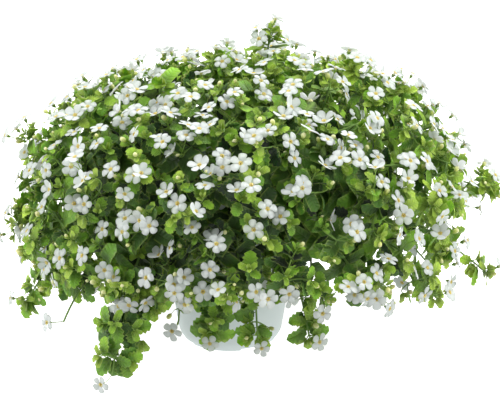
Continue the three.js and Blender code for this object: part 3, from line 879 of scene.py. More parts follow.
# %% Leaves of the shoots
PAIR_AT = np.array([0.5, 2.6, 6.4, 12.5, 20.5])
PAIR_SIZE = np.array([4.8, 8.0, 11.0, 13.0, 14.5])
PAIR_TILT = np.array([0.35, 0.75, 1.05, 1.2, 1.3])
PAIR_AGE = np.array([0.0, 0.08, 0.32, 0.7, 1.0])
PAIR_KINDS = {"small": slice(0, 2), "toothed": slice(2, 5, 2), "domed": slice(3, 4)}
VIGOUR = 0.85, 1.12
RUNNER_VIGOUR = 1.22
AGE_SPREAD = -0.14, 0.16
DEPTH_SHADE = 0.028
FIRST_LEAF = 0.1

pair_shares = 1 - PAIR_AT / shoot_length[:, None]
on_stem = shoots["node"][:, None] < STEMS
vigour = rng.uniform(*VIGOUR, (shoot_count, 1)) * np.where(on_stem, 1, RUNNER_VIGOUR)
# Leaves of deeper shoots are painted darker, as shade, on top of a random spread of age.
depth = rng.uniform(*AGE_SPREAD, (shoot_count, 1)) + DEPTH_SHADE * shoots["deep"][:, None]
for kind, part in PAIR_KINDS.items():
    grow_pairs(
        kind, shoot_paths, pair_shares[:, part], shoots["node"], PAIR_SIZE[part] * vigour,
        PAIR_TILT[part], PAIR_AGE[part] + depth, pair_shares[:, part] > FIRST_LEAF,
    )
print(sum(len(part["size"]) for parts in leaf_lists.values() for part in parts), "leaves on shoots")

# %% [markdown]
# Older leaves are left along the stems inside the mound. They are old and deep green, and their
# colour is also painted darker as shade, since little light gets to them, and they close the view
# into the plant. Few of them show, so their shape is simpler.
# Along the hanging runners the leaves are in full view.

# %% Leaves along stems, twigs and runners
stem_paths = bezier(stem_routes, STEM_POINTS)
branchings = bezier(stem_routes, 101)[:, round(100 * BRANCH_AT)]
twig_tufts = np.concatenate([tufts_of(stem)[1:] for stem in range(STEMS)])
twig_nodes = tuft_stem[twig_tufts]
twig_starts = branchings[twig_nodes]
twig_ends = tuft_points[twig_tufts]
twig_paths = bezier(np.stack([twig_starts, (twig_starts + twig_ends) / 2, twig_ends], axis=1), 12)
runner_paths = bezier(runner_routes, STEM_POINTS)


def even_shares(paths, low, high, pairs):
    """The same shares for every path, from low to high, moved a little at random."""
    even = np.linspace(low, high, pairs) + rng.normal(0, 0.01, (len(paths), pairs))
    return np.clip(even, 0, 1)


runner_nodes = STEMS + np.arange(len(RUNNERS))
LAST_LEAF = 0.97
# Kind, paths, their nodes, first share, pairs, size, tilt and age; the high ages of the plain
# leaves also paint them dark, as shade.
OLD_LEAVES = [
    ("plain", stem_paths, np.arange(STEMS), 0.34, 15, 18, 1.3, 1.05),
    ("plain", twig_paths, twig_nodes, 0.15, 6, 17.5, 1.3, 0.95),
    ("domed", runner_paths, runner_nodes, 0.36, 11, 15.5, 1.2, 0.55),
]
for kind, paths, nodes, first_share, pairs, size, tilt, age in OLD_LEAVES:
    shares = even_shares(paths, first_share, LAST_LEAF, pairs)
    grow_pairs(kind, paths, shares, nodes, size, tilt, age, shares > 0)
leaves = {
    kind: {name: np.concatenate([part[name] for part in parts]) for name in parts[0]}
    for kind, parts in leaf_lists.items()
}
print({kind: len(table["size"]) for kind, table in leaves.items()}, "leaves")

# %% [markdown]
# ## More flowers and buds
#
# The model has a flower or two over each tuft. The real plant is fuller, so more shoots carry
# one, wherever the nearest flower is far enough away. None is added low down near the pot, at the
# ends of runners or in a bare spot, and there are more towards the top and at the right. Some
# are half open. Many shoots end in a bud as well.

# %% Flowers between the model's own
EXTRA_FLOWERS = 330
FLOWER_SPACING = 10.5
FLOWER_OUT = 8
FLOWER_LEAN = 0.1, 1.0
FLOWER_LIFT = 0.3
HALF_OPEN_SHARE = 0.28
HALF_OPEN_CUPS = 2.2, 5
OPEN_CUPS = -1, 0.7
OVER_POT = {"height": 116, "radius": 165}
RUNNER_END_HEIGHT = 80
THIN_FLOWERS = 1.2
BARE_MARGIN = 12
LEAST_CHANCE = 0.4
TOP_CHANCE = 0.35
TOP_FROM = 150
TOP_FULL_AT = 270
SIDE_CHANCE = 0.2
RIGHT_FROM = 100
LEFT_FROM = -90
STALK_FROM = 0.75

centres = [bloom["centre"] for bloom in blooms]
across, over = axes_around(shoots["way"])
extra_lean = turned(rng.uniform(0, TURN, shoot_count), across, over)
extra_centres = shoots["tip"] + FLOWER_OUT * shoots["way"] + FLOWER_OUT * extra_lean
tipped = rng.uniform(*FLOWER_LEAN, (shoot_count, 1)) * extra_lean
extra_facings = unit(shoots["way"] + tipped + FLOWER_LIFT * UP)
half_open = rng.uniform(size=shoot_count) < HALF_OPEN_SHARE
half_cups = rng.uniform(*HALF_OPEN_CUPS, shoot_count)
extra_cups = np.where(half_open, half_cups, rng.uniform(*OPEN_CUPS, shoot_count))
x, y, z = extra_centres.T
barred = (z < OVER_POT["height"]) & (np.hypot(x, y) < OVER_POT["radius"])
barred |= (z < RUNNER_END_HEIGHT) & (shoots["node"] >= STEMS)
barred |= rng.uniform(size=shoot_count) < THIN_FLOWERS * thinness(extra_centres)
barred |= is_bare(extra_centres, BARE_MARGIN)
chance = LEAST_CHANCE + TOP_CHANCE * rounded_step(TOP_FROM, TOP_FULL_AT, z)
chance += SIDE_CHANCE * (x > RIGHT_FROM) - SIDE_CHANCE * (x < LEFT_FROM)
barred |= rng.uniform(size=shoot_count) > chance
flowering = []
for shoot in rng.permutation(np.flatnonzero(~barred)):
    gaps = np.linalg.norm(np.array(centres) - extra_centres[shoot], axis=1)
    if gaps.min() > FLOWER_SPACING and len(flowering) < EXTRA_FLOWERS:
        flowering.append(shoot)
        centres.append(extra_centres[shoot])
        start = on_paths(shoot_paths[shoot : shoot + 1], np.array([[STALK_FROM]]))[0][0, 0]
        blooms.append({"node": shoots["node"][shoot], "start": start,
                       "centre": extra_centres[shoot], "facing": extra_facings[shoot],
                       "cup": extra_cups[shoot], "notch": rng.uniform(0, TURN)})
flowers = {name: np.array([bloom[name] for bloom in blooms]) for name in blooms[0]}
print(len(blooms), "flowers,", len(flowering), "of them added")

# %% [markdown]
# A leaf must not cut through a flower or the pot's wall. Each leaf is tried at five points, and is
# left out if one of them lies in the drum of air before and behind a flower, inside the pot, in
# a bare spot or at the floor. The drum is narrower further from the flower.

# %% Room for the flowers and the pot
POT_HEIGHT = 112
RIM_RADIUS = 71
RIM_HEIGHT = 9
RIM_LIP = 2.2
WALL = 1.8
HEEL_RADIUS = 52
HEEL_HEIGHT = 9
FOOT_RADIUS = 45.5
BASE_THICKNESS = 4.4
PETIOLE = 0.3
TRIED_AT = [(0, 0.4), (0, 0.8), (0, 1.25), (0.35, 0.75), (-0.35, 0.75)]
DRUM_BEHIND = -2.2
DRUM_BEFORE = 13
DRUM_RADIUS = 9.2
DRUM_TAPER = 0.25
ABOVE_POT = 1
OUTSIDE_POT = 4
ABOVE_FLOOR = 2


def wall_radius(height):
    """The pot wall's outer radius: a straight taper from the heel to the rim."""
    share = (height - HEEL_HEIGHT) / (POT_HEIGHT - HEEL_HEIGHT)
    return HEEL_RADIUS + (RIM_RADIUS - RIM_LIP - HEEL_RADIUS) * share


def has_room(table):
    """Whether each leaf is clear of every flower and of the pot."""
    right = np.cross(table["above"], table["along"])
    size = table["size"][:, None]
    clear = np.ones(len(size), bool)
    for out, ahead in TRIED_AT:
        spot = table["base"] + size * (out * right + ahead * table["along"])
        offset = spot[:, None] - flowers["centre"][None]
        lift = np.sum(offset * flowers["facing"][None], axis=-1)
        beside = np.sqrt(np.maximum(np.sum(offset**2, axis=-1) - lift**2, 0))
        inside = (lift > DRUM_BEHIND) & (lift < DRUM_BEFORE)
        inside &= beside < DRUM_RADIUS - DRUM_TAPER * np.maximum(lift, 0)
        radius = np.hypot(spot[:, 0], spot[:, 1])
        in_pot = radius < wall_radius(spot[:, 2]) + OUTSIDE_POT
        in_pot &= spot[:, 2] < POT_HEIGHT + ABOVE_POT
        clear &= ~inside.any(axis=1) & ~in_pot & (spot[:, 2] > ABOVE_FLOOR)
        clear &= ~is_bare(spot)
    return clear


for kind, table in leaves.items():
    room = has_room(table)
    leaves[kind] = {name: value[room] for name, value in table.items()}
    print(kind, "leaves with room:", room.sum(), "of", len(room))

# %% [markdown]
# ### The shape of a leaf
#
# A bacopa leaf is nearly as wide as it is long, with a heart-shaped base, a blunt tip and round
# teeth. Its half width is a full, flat-topped arch over a share raised to a power, which puts the
# widest place a little over a third of the way up. Every other ring of points stands out a
# little, which makes the teeth. The blade folds up from its rib and droops. The leaves that show
# most are also domed between rib and edge, and the others have fewer points to a ring.

# %% Leaf skins
LEAF_WIDTH = 0.45
LEAF_POWERS = 0.72, 2.4, 0.55
TOOTH = 0.155
FOLDS = -0.12, 0.34
DROOPS = 0.05, 0.42
SWAY = 0.05
BREADTHS = 0.88, 1.1
HEART = 0.16
RIPPLE = 0.022
RIPPLE_TURNS = 9
DOME = 0.16
THICKNESS = 0.028
STALK_RADIUS = 0.034
STALK_RING = 0.4
LONG_STATIONS = np.array([0.02, 0.14, 0.27, 0.40, 0.53, 0.66, 0.79, 0.92])
STATIONS = {
    "domed": LONG_STATIONS,
    "toothed": LONG_STATIONS,
    "small": np.array([0.05, 0.4, 0.8]),
    "plain": np.array([0.06, 0.45, 0.85]),
}


def leaf_half(share):
    """Half a leaf's width: 0.45 (1 - |2 share^0.72 - 1|^2.4)^0.55 of its length."""
    skew, arch, blunt = LEAF_POWERS
    return LEAF_WIDTH * (1 - np.abs(2 * share**skew - 1) ** arch) ** blunt


def leaf_skin(table, stations, middles):
    """Skins of leaves. Round each ring the points are: right edge, the dome of the right half, the
    rib, the dome of the left half, left edge, and the rib's underside. Without middles the two
    dome points are left out. The first ring is the stalk's, a small circle. The height is
    fold |reach| - droop t^2 + 0.16 half on the dome - 0.028 under the rib + 0.022 |out|
    sin(9 t + 2 out), where out runs from 1 at the right edge to -1 at the left."""
    count = len(table["size"])
    out = np.array([1, 0.5, 0, -0.5, -1, 0] if middles else [1, 0, -1, 0])
    dome = np.array([0, 1, 0, 1, 0, 0] if middles else [0, 0, 0, 0])
    under = np.array([0, 0, 0, 0, 0, 1] if middles else [0, 0, 0, 1])
    angle = np.radians([0, 45, 90, 135, 180, 270] if middles else [0, 90, 180, 270])
    fold = rng.uniform(*FOLDS, (count, 1, 1))
    droop = rng.uniform(*DROOPS, (count, 1, 1))
    sway = rng.normal(0, SWAY, (count, 1, 1))
    broad = rng.uniform(*BREADTHS, (count, 1, 1))
    t = stations[:, None]
    half = leaf_half(t) * (1 + TOOTH * (-1.0) ** np.arange(len(stations))[:, None])
    reach = half * out
    sideways = broad * reach + sway * t**2
    heart = HEART * np.abs(out) * (1 - t) ** 5
    ahead = np.broadcast_to(PETIOLE + t - heart, (count, len(stations), len(out)))
    ripple = RIPPLE * np.sin(RIPPLE_TURNS * t + 2 * out) * np.abs(out)
    lift = fold * np.abs(reach) - droop * t**2 + DOME * half * dome - THICKNESS * under + ripple
    stalk_ahead = STALK_RING * PETIOLE + 0 * angle
    stalk = STALK_RADIUS * np.cos(angle), stalk_ahead, STALK_RADIUS * np.sin(angle)
    sideways, ahead, lift = (
        np.concatenate([np.broadcast_to(first, (count, 1, len(out))), rest], axis=1)
        for first, rest in zip(stalk, (sideways, ahead, lift))
    )
    size = table["size"][:, None, None, None]
    right = np.cross(table["above"], table["along"])
    axes = [vector[:, None, None, :] for vector in (right, table["along"], table["above"])]
    rings = table["base"][:, None, None, :] + size * (
        sideways[..., None] * axes[0] + ahead[..., None] * axes[1] + lift[..., None] * axes[2]
    )
    tip = size[:, 0, 0] * (
        (1 + PETIOLE) * table["along"] - droop[:, 0] * table["above"] + sway[:, 0] * right
    )
    ends = np.stack([table["base"], table["base"] + tip], axis=1)
    rows = len(stations) + 1
    across_blade = np.broadcast_to(0.5 + 0.5 * out, (rows - 1, len(out)))
    u = np.concatenate([np.full((1, len(out)), 0.5), across_blade])
    v = np.concatenate([[-0.2], stations])[:, None] + 0 * out
    uv = np.stack([u.ravel(), v.ravel()], axis=-1)
    uv = np.concatenate([uv, [[0.5, -0.3], [0.5, 1.0]]])
    below = np.concatenate([np.zeros(len(out)), np.tile(under, rows - 1), [0, 0]])
    return skin(
        rings, ends, uv=uv[None], under=below[None], age=table["age"][:, None],
        tint=rng.uniform(size=(count, 1)),
    )


leaf_skins = {
    kind: leaf_skin(leaves[kind], STATIONS[kind], middles=kind == "domed") for kind in leaves
}
print("faces of a leaf:", {kind: sum(map(len, made["faces"])) for kind, made in leaf_skins.items()})

# %% [markdown]
# ### The shape of a flower
#
# The flower is a narrow tube that opens flat into five broad lobes. A lobe starts as a claw at the
# throat, widens over six tenths of its length and ends round. No two lobes lie quite alike, so
# each gets a small turn, lift and roll of its own. The throat is a small turned funnel.

# %% Petal lobes
FLOWER_RADIUS = 10
THROAT_RADIUS = 1.3
CLAW_HALF = 1.25
LOBE_HALF = 3.98
LOBE_WIDENS = -0.1, 0.6
LOBE_CLOSES_FROM = 0.66
LOBE_CLOSES_OVER = 0.34
LOBE_BLUNT = 0.8
LOBE_TURN = 0.05
LOBE_ROLL = 0.14
LOBE_LENGTHS = 0.93, 1.05
LOBE_WIDTHS = 0.9, 1.06
LOBE_CUP = 0.45
LOBE_WAVE = 0.25
LOBE_THICKNESS = 0.45
FLOWER_SIZES = 0.84, 1.06
LOBE_STATIONS = np.array([0.0, 0.2, 0.44, 0.68, 0.86, 0.96])


def lobe_half(share):
    """Half a lobe's width, in mm: a rounded step from 1.25 at the throat's depth to 3.98 at 0.6 of
    the way, times sqrt(1 - s^2)^0.8 of the share s of the last third."""
    widen = CLAW_HALF + (LOBE_HALF - CLAW_HALF) * rounded_step(*LOBE_WIDENS, share)
    tip_share = np.maximum(share - LOBE_CLOSES_FROM, 0) / LOBE_CLOSES_OVER
    return widen * np.sqrt(np.maximum(1 - tip_share**2, 0)) ** LOBE_BLUNT


def lobe_skin(table):
    """Skins of all the lobes. Round a ring the points are: right edge, two of the dome, left edge,
    and the underside. Each lobe has its own turn, roll, length, width, cup and wave. The height
    is cup t^2 + 0.45 sin(pi t) - 0.8 (1 - t)^6 + 0.25 out^2 sin(7 t + a drawn phase), and on
    the dome 0.35 (1 - t^4) more, and underneath 0.45 less."""
    count = len(table["centre"]) * LOBES
    each = np.repeat(np.arange(len(table["centre"])), LOBES)
    facing = table["facing"][each]
    across, over = axes_around(facing)
    slot_angle = TURN * (np.tile(np.arange(LOBES), len(table["centre"])) + 0.5) / LOBES
    angle = table["notch"][each] + slot_angle + rng.normal(0, LOBE_TURN, count)
    ray = turned(angle, across, over)
    roll = rng.normal(0, LOBE_ROLL, count)[:, None]
    beside = np.cross(facing, ray)
    side = beside * np.cos(roll) + facing * np.sin(roll)
    t = LOBE_STATIONS[:, None]
    out = np.array([1, 0.42, -0.42, -1, 0])
    dome = np.array([0, 1, 1, 0, 0])
    under = np.array([0, 0, 0, 0, 1])
    size = table["size"][each][:, None, None]
    long = size * rng.uniform(*LOBE_LENGTHS, (count, 1, 1))
    wide = size * rng.uniform(*LOBE_WIDTHS, (count, 1, 1))
    cup = (table["cup"][each] + rng.normal(0, LOBE_CUP, count))[:, None, None]
    distance = THROAT_RADIUS + (long * FLOWER_RADIUS - THROAT_RADIUS) * t + 0 * out
    sideways = wide * lobe_half(t) * out
    wave = LOBE_WAVE * np.sin(7 * t + rng.uniform(0, TURN, (count, 1, 1))) * out**2
    lift = -0.8 * (1 - t) ** 6 + cup * t**2 + 0.45 * np.sin(np.pi * t) + wave
    lift = lift + 0.35 * dome * rounded_step(0, 0.3, t) * (1 - t**4) - LOBE_THICKNESS * under
    rings = table["centre"][each][:, None, None] + (
        distance[..., None] * ray[:, None, None] + sideways[..., None] * side[:, None, None]
        + lift[..., None] * facing[:, None, None]
    )
    inner = table["centre"][each] + 1.1 * ray - 0.95 * facing
    outer = table["centre"][each] + long[:, 0] * FLOWER_RADIUS * ray + cup[:, 0] * facing
    u = np.broadcast_to(0.5 + 0.5 * out, (len(t), len(out))).ravel()
    v = np.broadcast_to(t, (len(t), len(out))).ravel()
    uv = np.concatenate([np.stack([u, v], axis=-1), [[0.5, 0], [0.5, 1]]])
    seen = 1 - np.concatenate([np.tile(under, len(t)), [0, 0]])
    stain = 0.5 * (1 - rounded_step(0.0, 0.2, uv[:, 1])) * seen
    return skin(
        rings, np.stack([inner, outer], axis=1), uv=uv[None], stain=stain[None],
        tint=rng.uniform(size=(count, 1)),
    )


flowers["size"] = rng.uniform(*FLOWER_SIZES, len(blooms))
lobes = lobe_skin(flowers)
print(len(lobes["points"]), "lobes of", sum(len(f) for f in lobes["faces"]), "faces")

# %% [markdown]
# Under the lobes a flower has a turned tube with a funnel, three anthers in it, a cup of five
# sepals and a thin stalk. The stain tells the finish how far into the throat a ring is.

# %% Throats, anthers, cups and stalks
THROAT = [(0, -5.4), (0.95, -5.0), (1.0, -2.4), (1.75, -0.5), (1.95, 0.1), (1.4, -0.1),
          (0.85, -1.1), (0, -1.8)]
THROAT_STAIN = [0.3, 0.32, 0.62, 0.72, 0.85, 1.0]
THROAT_COLUMNS = 7
CUP = [(0, -6.6), (0.75, -6.3), (1.4, -4.9), (2.0, -3.0), (1.2, -4.4), (0, -4.8)]
SEPALS = 5
SEPAL_RISE = 1.3
ANTHERS = 3
ANTHER = [(0, -0.6), (0.5, -0.2), (0.45, 0.5), (0, 0.8)]
ANTHER_RADIUS = 0.85
ANTHER_STAIN = 0.82
STALK_END = 6.3
STALK_STRAIGHT = 7
FLOWER_STALK = 0.42


def ring_values(ring, columns):
    """One value a ring, spread to its points, with the first and last rings' at the two ends."""
    return np.concatenate([np.repeat(ring, columns), [ring[0], ring[-1]]])[None]


def same(value):
    """One value for every point of every organ."""
    return np.full((1, 1), float(value))


plain_uv = np.array([0.5, 0.5])[None, None]
throats = turned_shapes(
    flowers["centre"], flowers["facing"], THROAT, THROAT_COLUMNS, sizes=flowers["size"],
    uv=plain_uv, stain=ring_values(THROAT_STAIN, THROAT_COLUMNS), tint=same(0),
)
each = np.repeat(np.arange(len(blooms)), ANTHERS)
across, over = axes_around(flowers["facing"][each])
anther_angle = TURN * (np.tile(np.arange(ANTHERS), len(blooms)) / ANTHERS) + flowers["notch"][each]
anther_places = flowers["centre"][each] + ANTHER_RADIUS * turned(anther_angle, across, over)
anthers = turned_shapes(
    anther_places, flowers["facing"][each], ANTHER, 4,
    uv=plain_uv, stain=same(ANTHER_STAIN), tint=same(0),
)
sepals = SEPAL_RISE * np.outer([0, 0, 1, 0], (-1.0) ** np.arange(2 * SEPALS))
cups = turned_shapes(
    flowers["centre"], flowers["facing"], CUP, 2 * SEPALS, sizes=flowers["size"], wave=sepals,
    age=same(0.15), tint=same(0.5),
)
stalk_ends = flowers["centre"] - STALK_END * flowers["size"][:, None] * flowers["facing"]
stalk_bends = stalk_ends - STALK_STRAIGHT * flowers["facing"]
stalks = tubes(
    bezier(np.stack([flowers["start"], stalk_bends, stalk_ends], axis=1), 6), FLOWER_STALK, 4,
    age=same(0.2), tint=same(0.5),
)
print(len(anther_places), "anthers")

# %% [markdown]
# A bud is a small turned drop on a short stalk at the tip of its shoot, and its stain runs from
# green at the base to cream.

# %% Buds
BUD_SHARE = 0.6
BUD = [(0, 0), (0.75, 0.1), (1.55, 1.3), (1.85, 2.8), (1.4, 4.3), (0, 5.0)]
BUD_STAIN = [0.46, 0.44, 0.4, 0.36]
BUD_SCATTER = 0.35
BUD_LENGTHS = 1.5, 5
BUD_SIZES = 0.75, 1.4
BUD_STALK = 0.35

budding = np.flatnonzero(rng.uniform(size=shoot_count) < BUD_SHARE)
bud_way = unit(shoots["way"][budding] + rng.normal(0, BUD_SCATTER, (len(budding), 3)))
bud_stalk = rng.uniform(*BUD_LENGTHS, len(budding))[:, None]
bud_tips = shoots["tip"][budding]
bud_places = bud_tips + bud_way * bud_stalk
buds = turned_shapes(
    bud_places, bud_way, BUD, 7, sizes=rng.uniform(*BUD_SIZES, len(budding)),
    uv=plain_uv, stain=ring_values(BUD_STAIN, 7), tint=rng.uniform(size=(len(budding), 1)),
)
bud_bends = bud_places - 0.5 * bud_way * bud_stalk
bud_paths = bezier(np.stack([bud_tips, bud_bends, bud_places + 0.5 * bud_way], axis=1), 3)
bud_stalks = tubes(bud_paths, BUD_STALK, 4, age=same(0.1), tint=same(0.5))
print(len(budding), "buds")

# %% [markdown]
# Stems, runners, twigs and shoots are tubes that grow thinner and younger towards their tips. Each
# row of the table gives the two radii, the two ages and the points round a ring. A runner is a
# tenth thinner than a stem.

# %% Stems, twigs and shoots
TUBES = {
    "stems": (stem_paths, (1.7, 1.0), (1, 0.35), 8),
    "runners": (runner_paths, (1.7, 1.0), (1, 0.35), 8),
    "twigs": (twig_paths, (1.2, 0.85), (0.6, 0.35), 7),
    "shoots": (shoot_paths, (0.8, 0.45), (0.4, 0.0), 4),
}
RUNNER_THICKNESS = 0.9

tube_skins = {}
for name, (paths, radii, ages, columns) in TUBES.items():
    rows = paths.shape[1]
    along = np.linspace(*radii, rows) * (RUNNER_THICKNESS if name == "runners" else 1)
    ring_ages = ring_values(np.linspace(*ages, rows), columns)
    tube_skins[name] = tubes(paths, along, columns, age=ring_ages, tint=same(0.5))
print(len(twig_paths), "twigs")

# %% [markdown]
# ## Materials
#
# The finishes are node trees. Two small helpers keep them readable: one adds a node with its
# inputs, and one does a step of arithmetic. Two effects are shared by several finishes, so each
# is a node group: soft patches of lighter and darker tissue, and the veins of a blade.

# %% Node helpers
def put(tree, kind, inputs=None, **settings):
    """Adds a node, changes its settings, and sets each named input or links it to a socket."""
    made = tree.nodes.new(kind)
    for name, value in settings.items():
        setattr(made, name, value)
    for name, value in (inputs or {}).items():
        if isinstance(value, bpy.types.NodeSocket):
            tree.links.new(value, made.inputs[name])
        else:
            made.inputs[name].default_value = value
    return made


def sum_up(tree, operation, *values):
    """One step of arithmetic on sockets or numbers."""
    made = put(tree, "ShaderNodeMath", dict(enumerate(values)), operation=operation)
    return made.outputs[0]


def scaled(tree, value, low, high, new_low=0.0, new_high=1.0, smooth=False):
    """A value's range carried to another range, and held inside it."""
    kind = "SMOOTHSTEP" if smooth else "LINEAR"
    inputs = {"Value": value, "From Min": low, "From Max": high}
    inputs |= {"To Min": new_low, "To Max": new_high}
    return put(tree, "ShaderNodeMapRange", inputs, interpolation_type=kind).outputs["Result"]


def mixed(tree, share, first, second, kind="MIX"):
    """Two colours mixed by a share. The Mix node takes them at its sockets 6 and 7."""
    inputs = {0: share, 6: first, 7: second}
    made = put(tree, "ShaderNodeMix", inputs, data_type="RGBA", blend_type=kind)
    return made.outputs[2]


def ramp(tree, value, stops):
    """A colour ramp from (place, colour) stops."""
    made = put(tree, "ShaderNodeValToRGB", {"Fac": value})
    elements = made.color_ramp.elements
    while len(elements) < len(stops):
        elements.new(0.5)
    for element, (place, colour) in zip(elements, stops):
        element.position = place
        element.color = (*colour, 1)
    return made.outputs["Color"]


def named_value(tree, name):
    """A piece's own attribute."""
    return put(tree, "ShaderNodeAttribute", attribute_name=name).outputs["Fac"]


def new_group(name, inputs, outputs):
    """An empty node group with float or vector sockets, and its two end nodes."""
    group = bpy.data.node_groups.new(name, "ShaderNodeTree")
    for label, kind in inputs.items():
        group.interface.new_socket(label, in_out="INPUT", socket_type=kind)
    for label in outputs:
        group.interface.new_socket(label, in_out="OUTPUT", socket_type="NodeSocketFloat")
    return group, group.nodes.new("NodeGroupInput"), group.nodes.new("NodeGroupOutput")


# %% [markdown]
# The patches are noise about a middle of 0.5, stretched by the contrast.

# %% Group: patches
FLOAT = "NodeSocketFloat"
VECTOR = "NodeSocketVector"

patches, group_in, group_out = new_group(
    "patches", {"Place": VECTOR, "Scale": FLOAT, "Contrast": FLOAT}, ["Patches"]
)
noise = put(patches, "ShaderNodeTexNoise", {
    "Vector": group_in.outputs["Place"], "Scale": group_in.outputs["Scale"], "Detail": 4.0,
})
centred = sum_up(patches, "SUBTRACT", noise.outputs["Fac"], 0.5)
spread = sum_up(patches, "MULTIPLY", centred, group_in.outputs["Contrast"])
patches.links.new(sum_up(patches, "ADD", spread, 0.5), group_out.inputs["Patches"])
print("group:", patches.name)

# %% [markdown]
# A blade's veins follow its own UV map: u runs across it and v along it. A side vein leaves the
# rib and slants to the edge, so its line is where v less a part of the distance from the rib
# comes to a whole number of steps. Between the veins the blade stands up a little.

# %% Group: veins
veins, group_in, group_out = new_group(
    "blade_veins", {"Map": VECTOR, "Steps": FLOAT, "Slant": FLOAT}, ["Line", "Quilt", "Rim", "Tip"]
)
split = put(veins, "ShaderNodeSeparateXYZ", {"Vector": group_in.outputs["Map"]})
doubled = sum_up(veins, "MULTIPLY", split.outputs["X"], 2.0)
from_rib = sum_up(veins, "ABSOLUTE", sum_up(veins, "SUBTRACT", doubled, 1.0))
slanted = sum_up(veins, "MULTIPLY", from_rib, group_in.outputs["Slant"])
stepped = sum_up(veins, "MULTIPLY", split.outputs["Y"], group_in.outputs["Steps"])
phase = sum_up(veins, "SUBTRACT", stepped, slanted)
between = sum_up(veins, "MULTIPLY", sum_up(veins, "PINGPONG", phase, 0.5), 2.0)
side_vein = scaled(veins, between, 0.04, 0.3, 1.0, 0.0, smooth=True)
rib = scaled(veins, from_rib, 0.03, 0.14, 1.0, 0.0, smooth=True)
fading = sum_up(veins, "MULTIPLY", side_vein, scaled(veins, from_rib, 0.5, 1.0, 0.8, 0.15))
veins.links.new(sum_up(veins, "MAXIMUM", rib, fading), group_out.inputs["Line"])
quilted = sum_up(veins, "MULTIPLY", between, scaled(veins, from_rib, 0.0, 0.5))
veins.links.new(quilted, group_out.inputs["Quilt"])
veins.links.new(scaled(veins, from_rib, 0.72, 1.0, smooth=True), group_out.inputs["Rim"])
veins.links.new(scaled(veins, split.outputs["Y"], 0.0, 0.8, smooth=True), group_out.inputs["Tip"])
print("group:", veins.name)

# %% [markdown]
# Every finish starts with a Principled shader whose constants are set on its own sockets. Only
# what changes over the surface is linked to it.

# %% A finish to start from
def finish(name, **constants):
    """A material with a Principled shader, and the constants set on its sockets."""
    made = bpy.data.materials.new(name)
    made.use_nodes = True
    shader = made.node_tree.nodes["Principled BSDF"]
    for label, value in constants.items():
        shader.inputs[label.replace("_", " ")].default_value = value
    return made, made.node_tree, shader


def patches_at(tree, scale, contrast):
    """The patches group on Object coordinates."""
    place = put(tree, "ShaderNodeTexCoord").outputs["Object"]
    made = put(tree, "ShaderNodeGroup", node_tree=patches)
    tree.links.new(place, made.inputs["Place"])
    made.inputs["Scale"].default_value = scale
    made.inputs["Contrast"].default_value = contrast
    return made.outputs["Patches"]


def veins_at(tree, steps, slant):
    """The veins group on the piece's own UV map."""
    made = put(tree, "ShaderNodeGroup", node_tree=veins)
    tree.links.new(put(tree, "ShaderNodeUVMap", uv_map="pattern").outputs["UV"], made.inputs["Map"])
    made.inputs["Steps"].default_value = steps
    made.inputs["Slant"].default_value = slant
    return [made.outputs[name] for name in ("Line", "Quilt", "Rim", "Tip")]


def bumped(tree, shader, height, strength, distance):
    """A height that bends the shader's normal. The distance is in metres."""
    inputs = {"Height": height, "Strength": strength, "Distance": distance}
    tree.links.new(put(tree, "ShaderNodeBump", inputs).outputs["Normal"], shader.inputs["Normal"])


# %% [markdown]
# A young leaf is a bright yellow-green and an old one a deep green. The colour also holds
# painted shade that darkens it to nearly black inside the mound, and painted light that keeps it
# paler on the lit side. Each leaf also has a brightness of its own, and is painted darker near
# its stalk as shade and paler towards its tip. Its rim is paler, partly its own margin and partly
# a painted highlight, and the creases between the puckers of the blade are painted darker as
# shade. The veins are paler than the blade and plainest in young leaves, fading with the painted
# shade. The underside is paler and greyer, and also painted brighter for light shining through
# it, and the soft hairs on it give a faint sheen.

# %% Leaf
LEAF_STOPS = [
    (0.0, (0.27, 0.41, 0.040)),
    (0.22, (0.190, 0.35, 0.018)),
    (0.44, (0.130, 0.290, 0.013)),
    (0.72, (0.048, 0.126, 0.011)),
    (1.0, (0.007, 0.021, 0.006)),
]
# The value of age with painted shade that takes the darkest, nearly black colour.
DARKEST_AGE_AND_SHADE = 1.35
LEAF_UNDERSIDE_AND_THROUGH_LIGHT = (0.27, 0.44, 0.09, 1)
LEAF_VEIN = (0.26, 0.42, 0.055, 1)
LEAF_RIM_AND_HIGHLIGHT = (0.36, 0.50, 0.08, 1)
RIM_SHARE = 0.32
UNDER_SHARE = 0.75
TINT_BRIGHTNESS = 0.9, 1.42

leaf_finish, tree, shader = finish(
    "bacopa_leaf", Specular_IOR_Level=0.3, Sheen_Weight=0.02, Sheen_Roughness=0.5,
    Subsurface_Weight=0.35, Subsurface_Radius=(0.7, 1.0, 0.25), Subsurface_Scale=1.5 * MM,
)
line, quilt, rim, tip = veins_at(tree, 5.0, 1.1)
mottle = patches_at(tree, 170, 1.4)
colour = ramp(tree, scaled(tree, named_value(tree, "age"), 0.0, DARKEST_AGE_AND_SHADE), LEAF_STOPS)
brightness = scaled(tree, named_value(tree, "tint"), 0, 1, *TINT_BRIGHTNESS)
# Brightness from random patches, from painted shade in the creases between the puckers, and from
# painted shade near the stalk that gives way to a paler tip.
for cause, least, most in ((mottle, 0.8, 1.2), (quilt, 0.86, 1.08), (tip, 0.6, 1.25)):
    brightness = sum_up(tree, "MULTIPLY", brightness, scaled(tree, cause, 0, 1, least, most))
grey = put(tree, "ShaderNodeCombineXYZ", {0: brightness, 1: brightness, 2: brightness})
colour = mixed(tree, 1.0, colour, grey.outputs[0], "MULTIPLY")
young = scaled(tree, named_value(tree, "age"), 0.3, 1.0, 0.25, 0.04)
colour = mixed(tree, sum_up(tree, "MULTIPLY", line, young), colour, LEAF_VEIN)
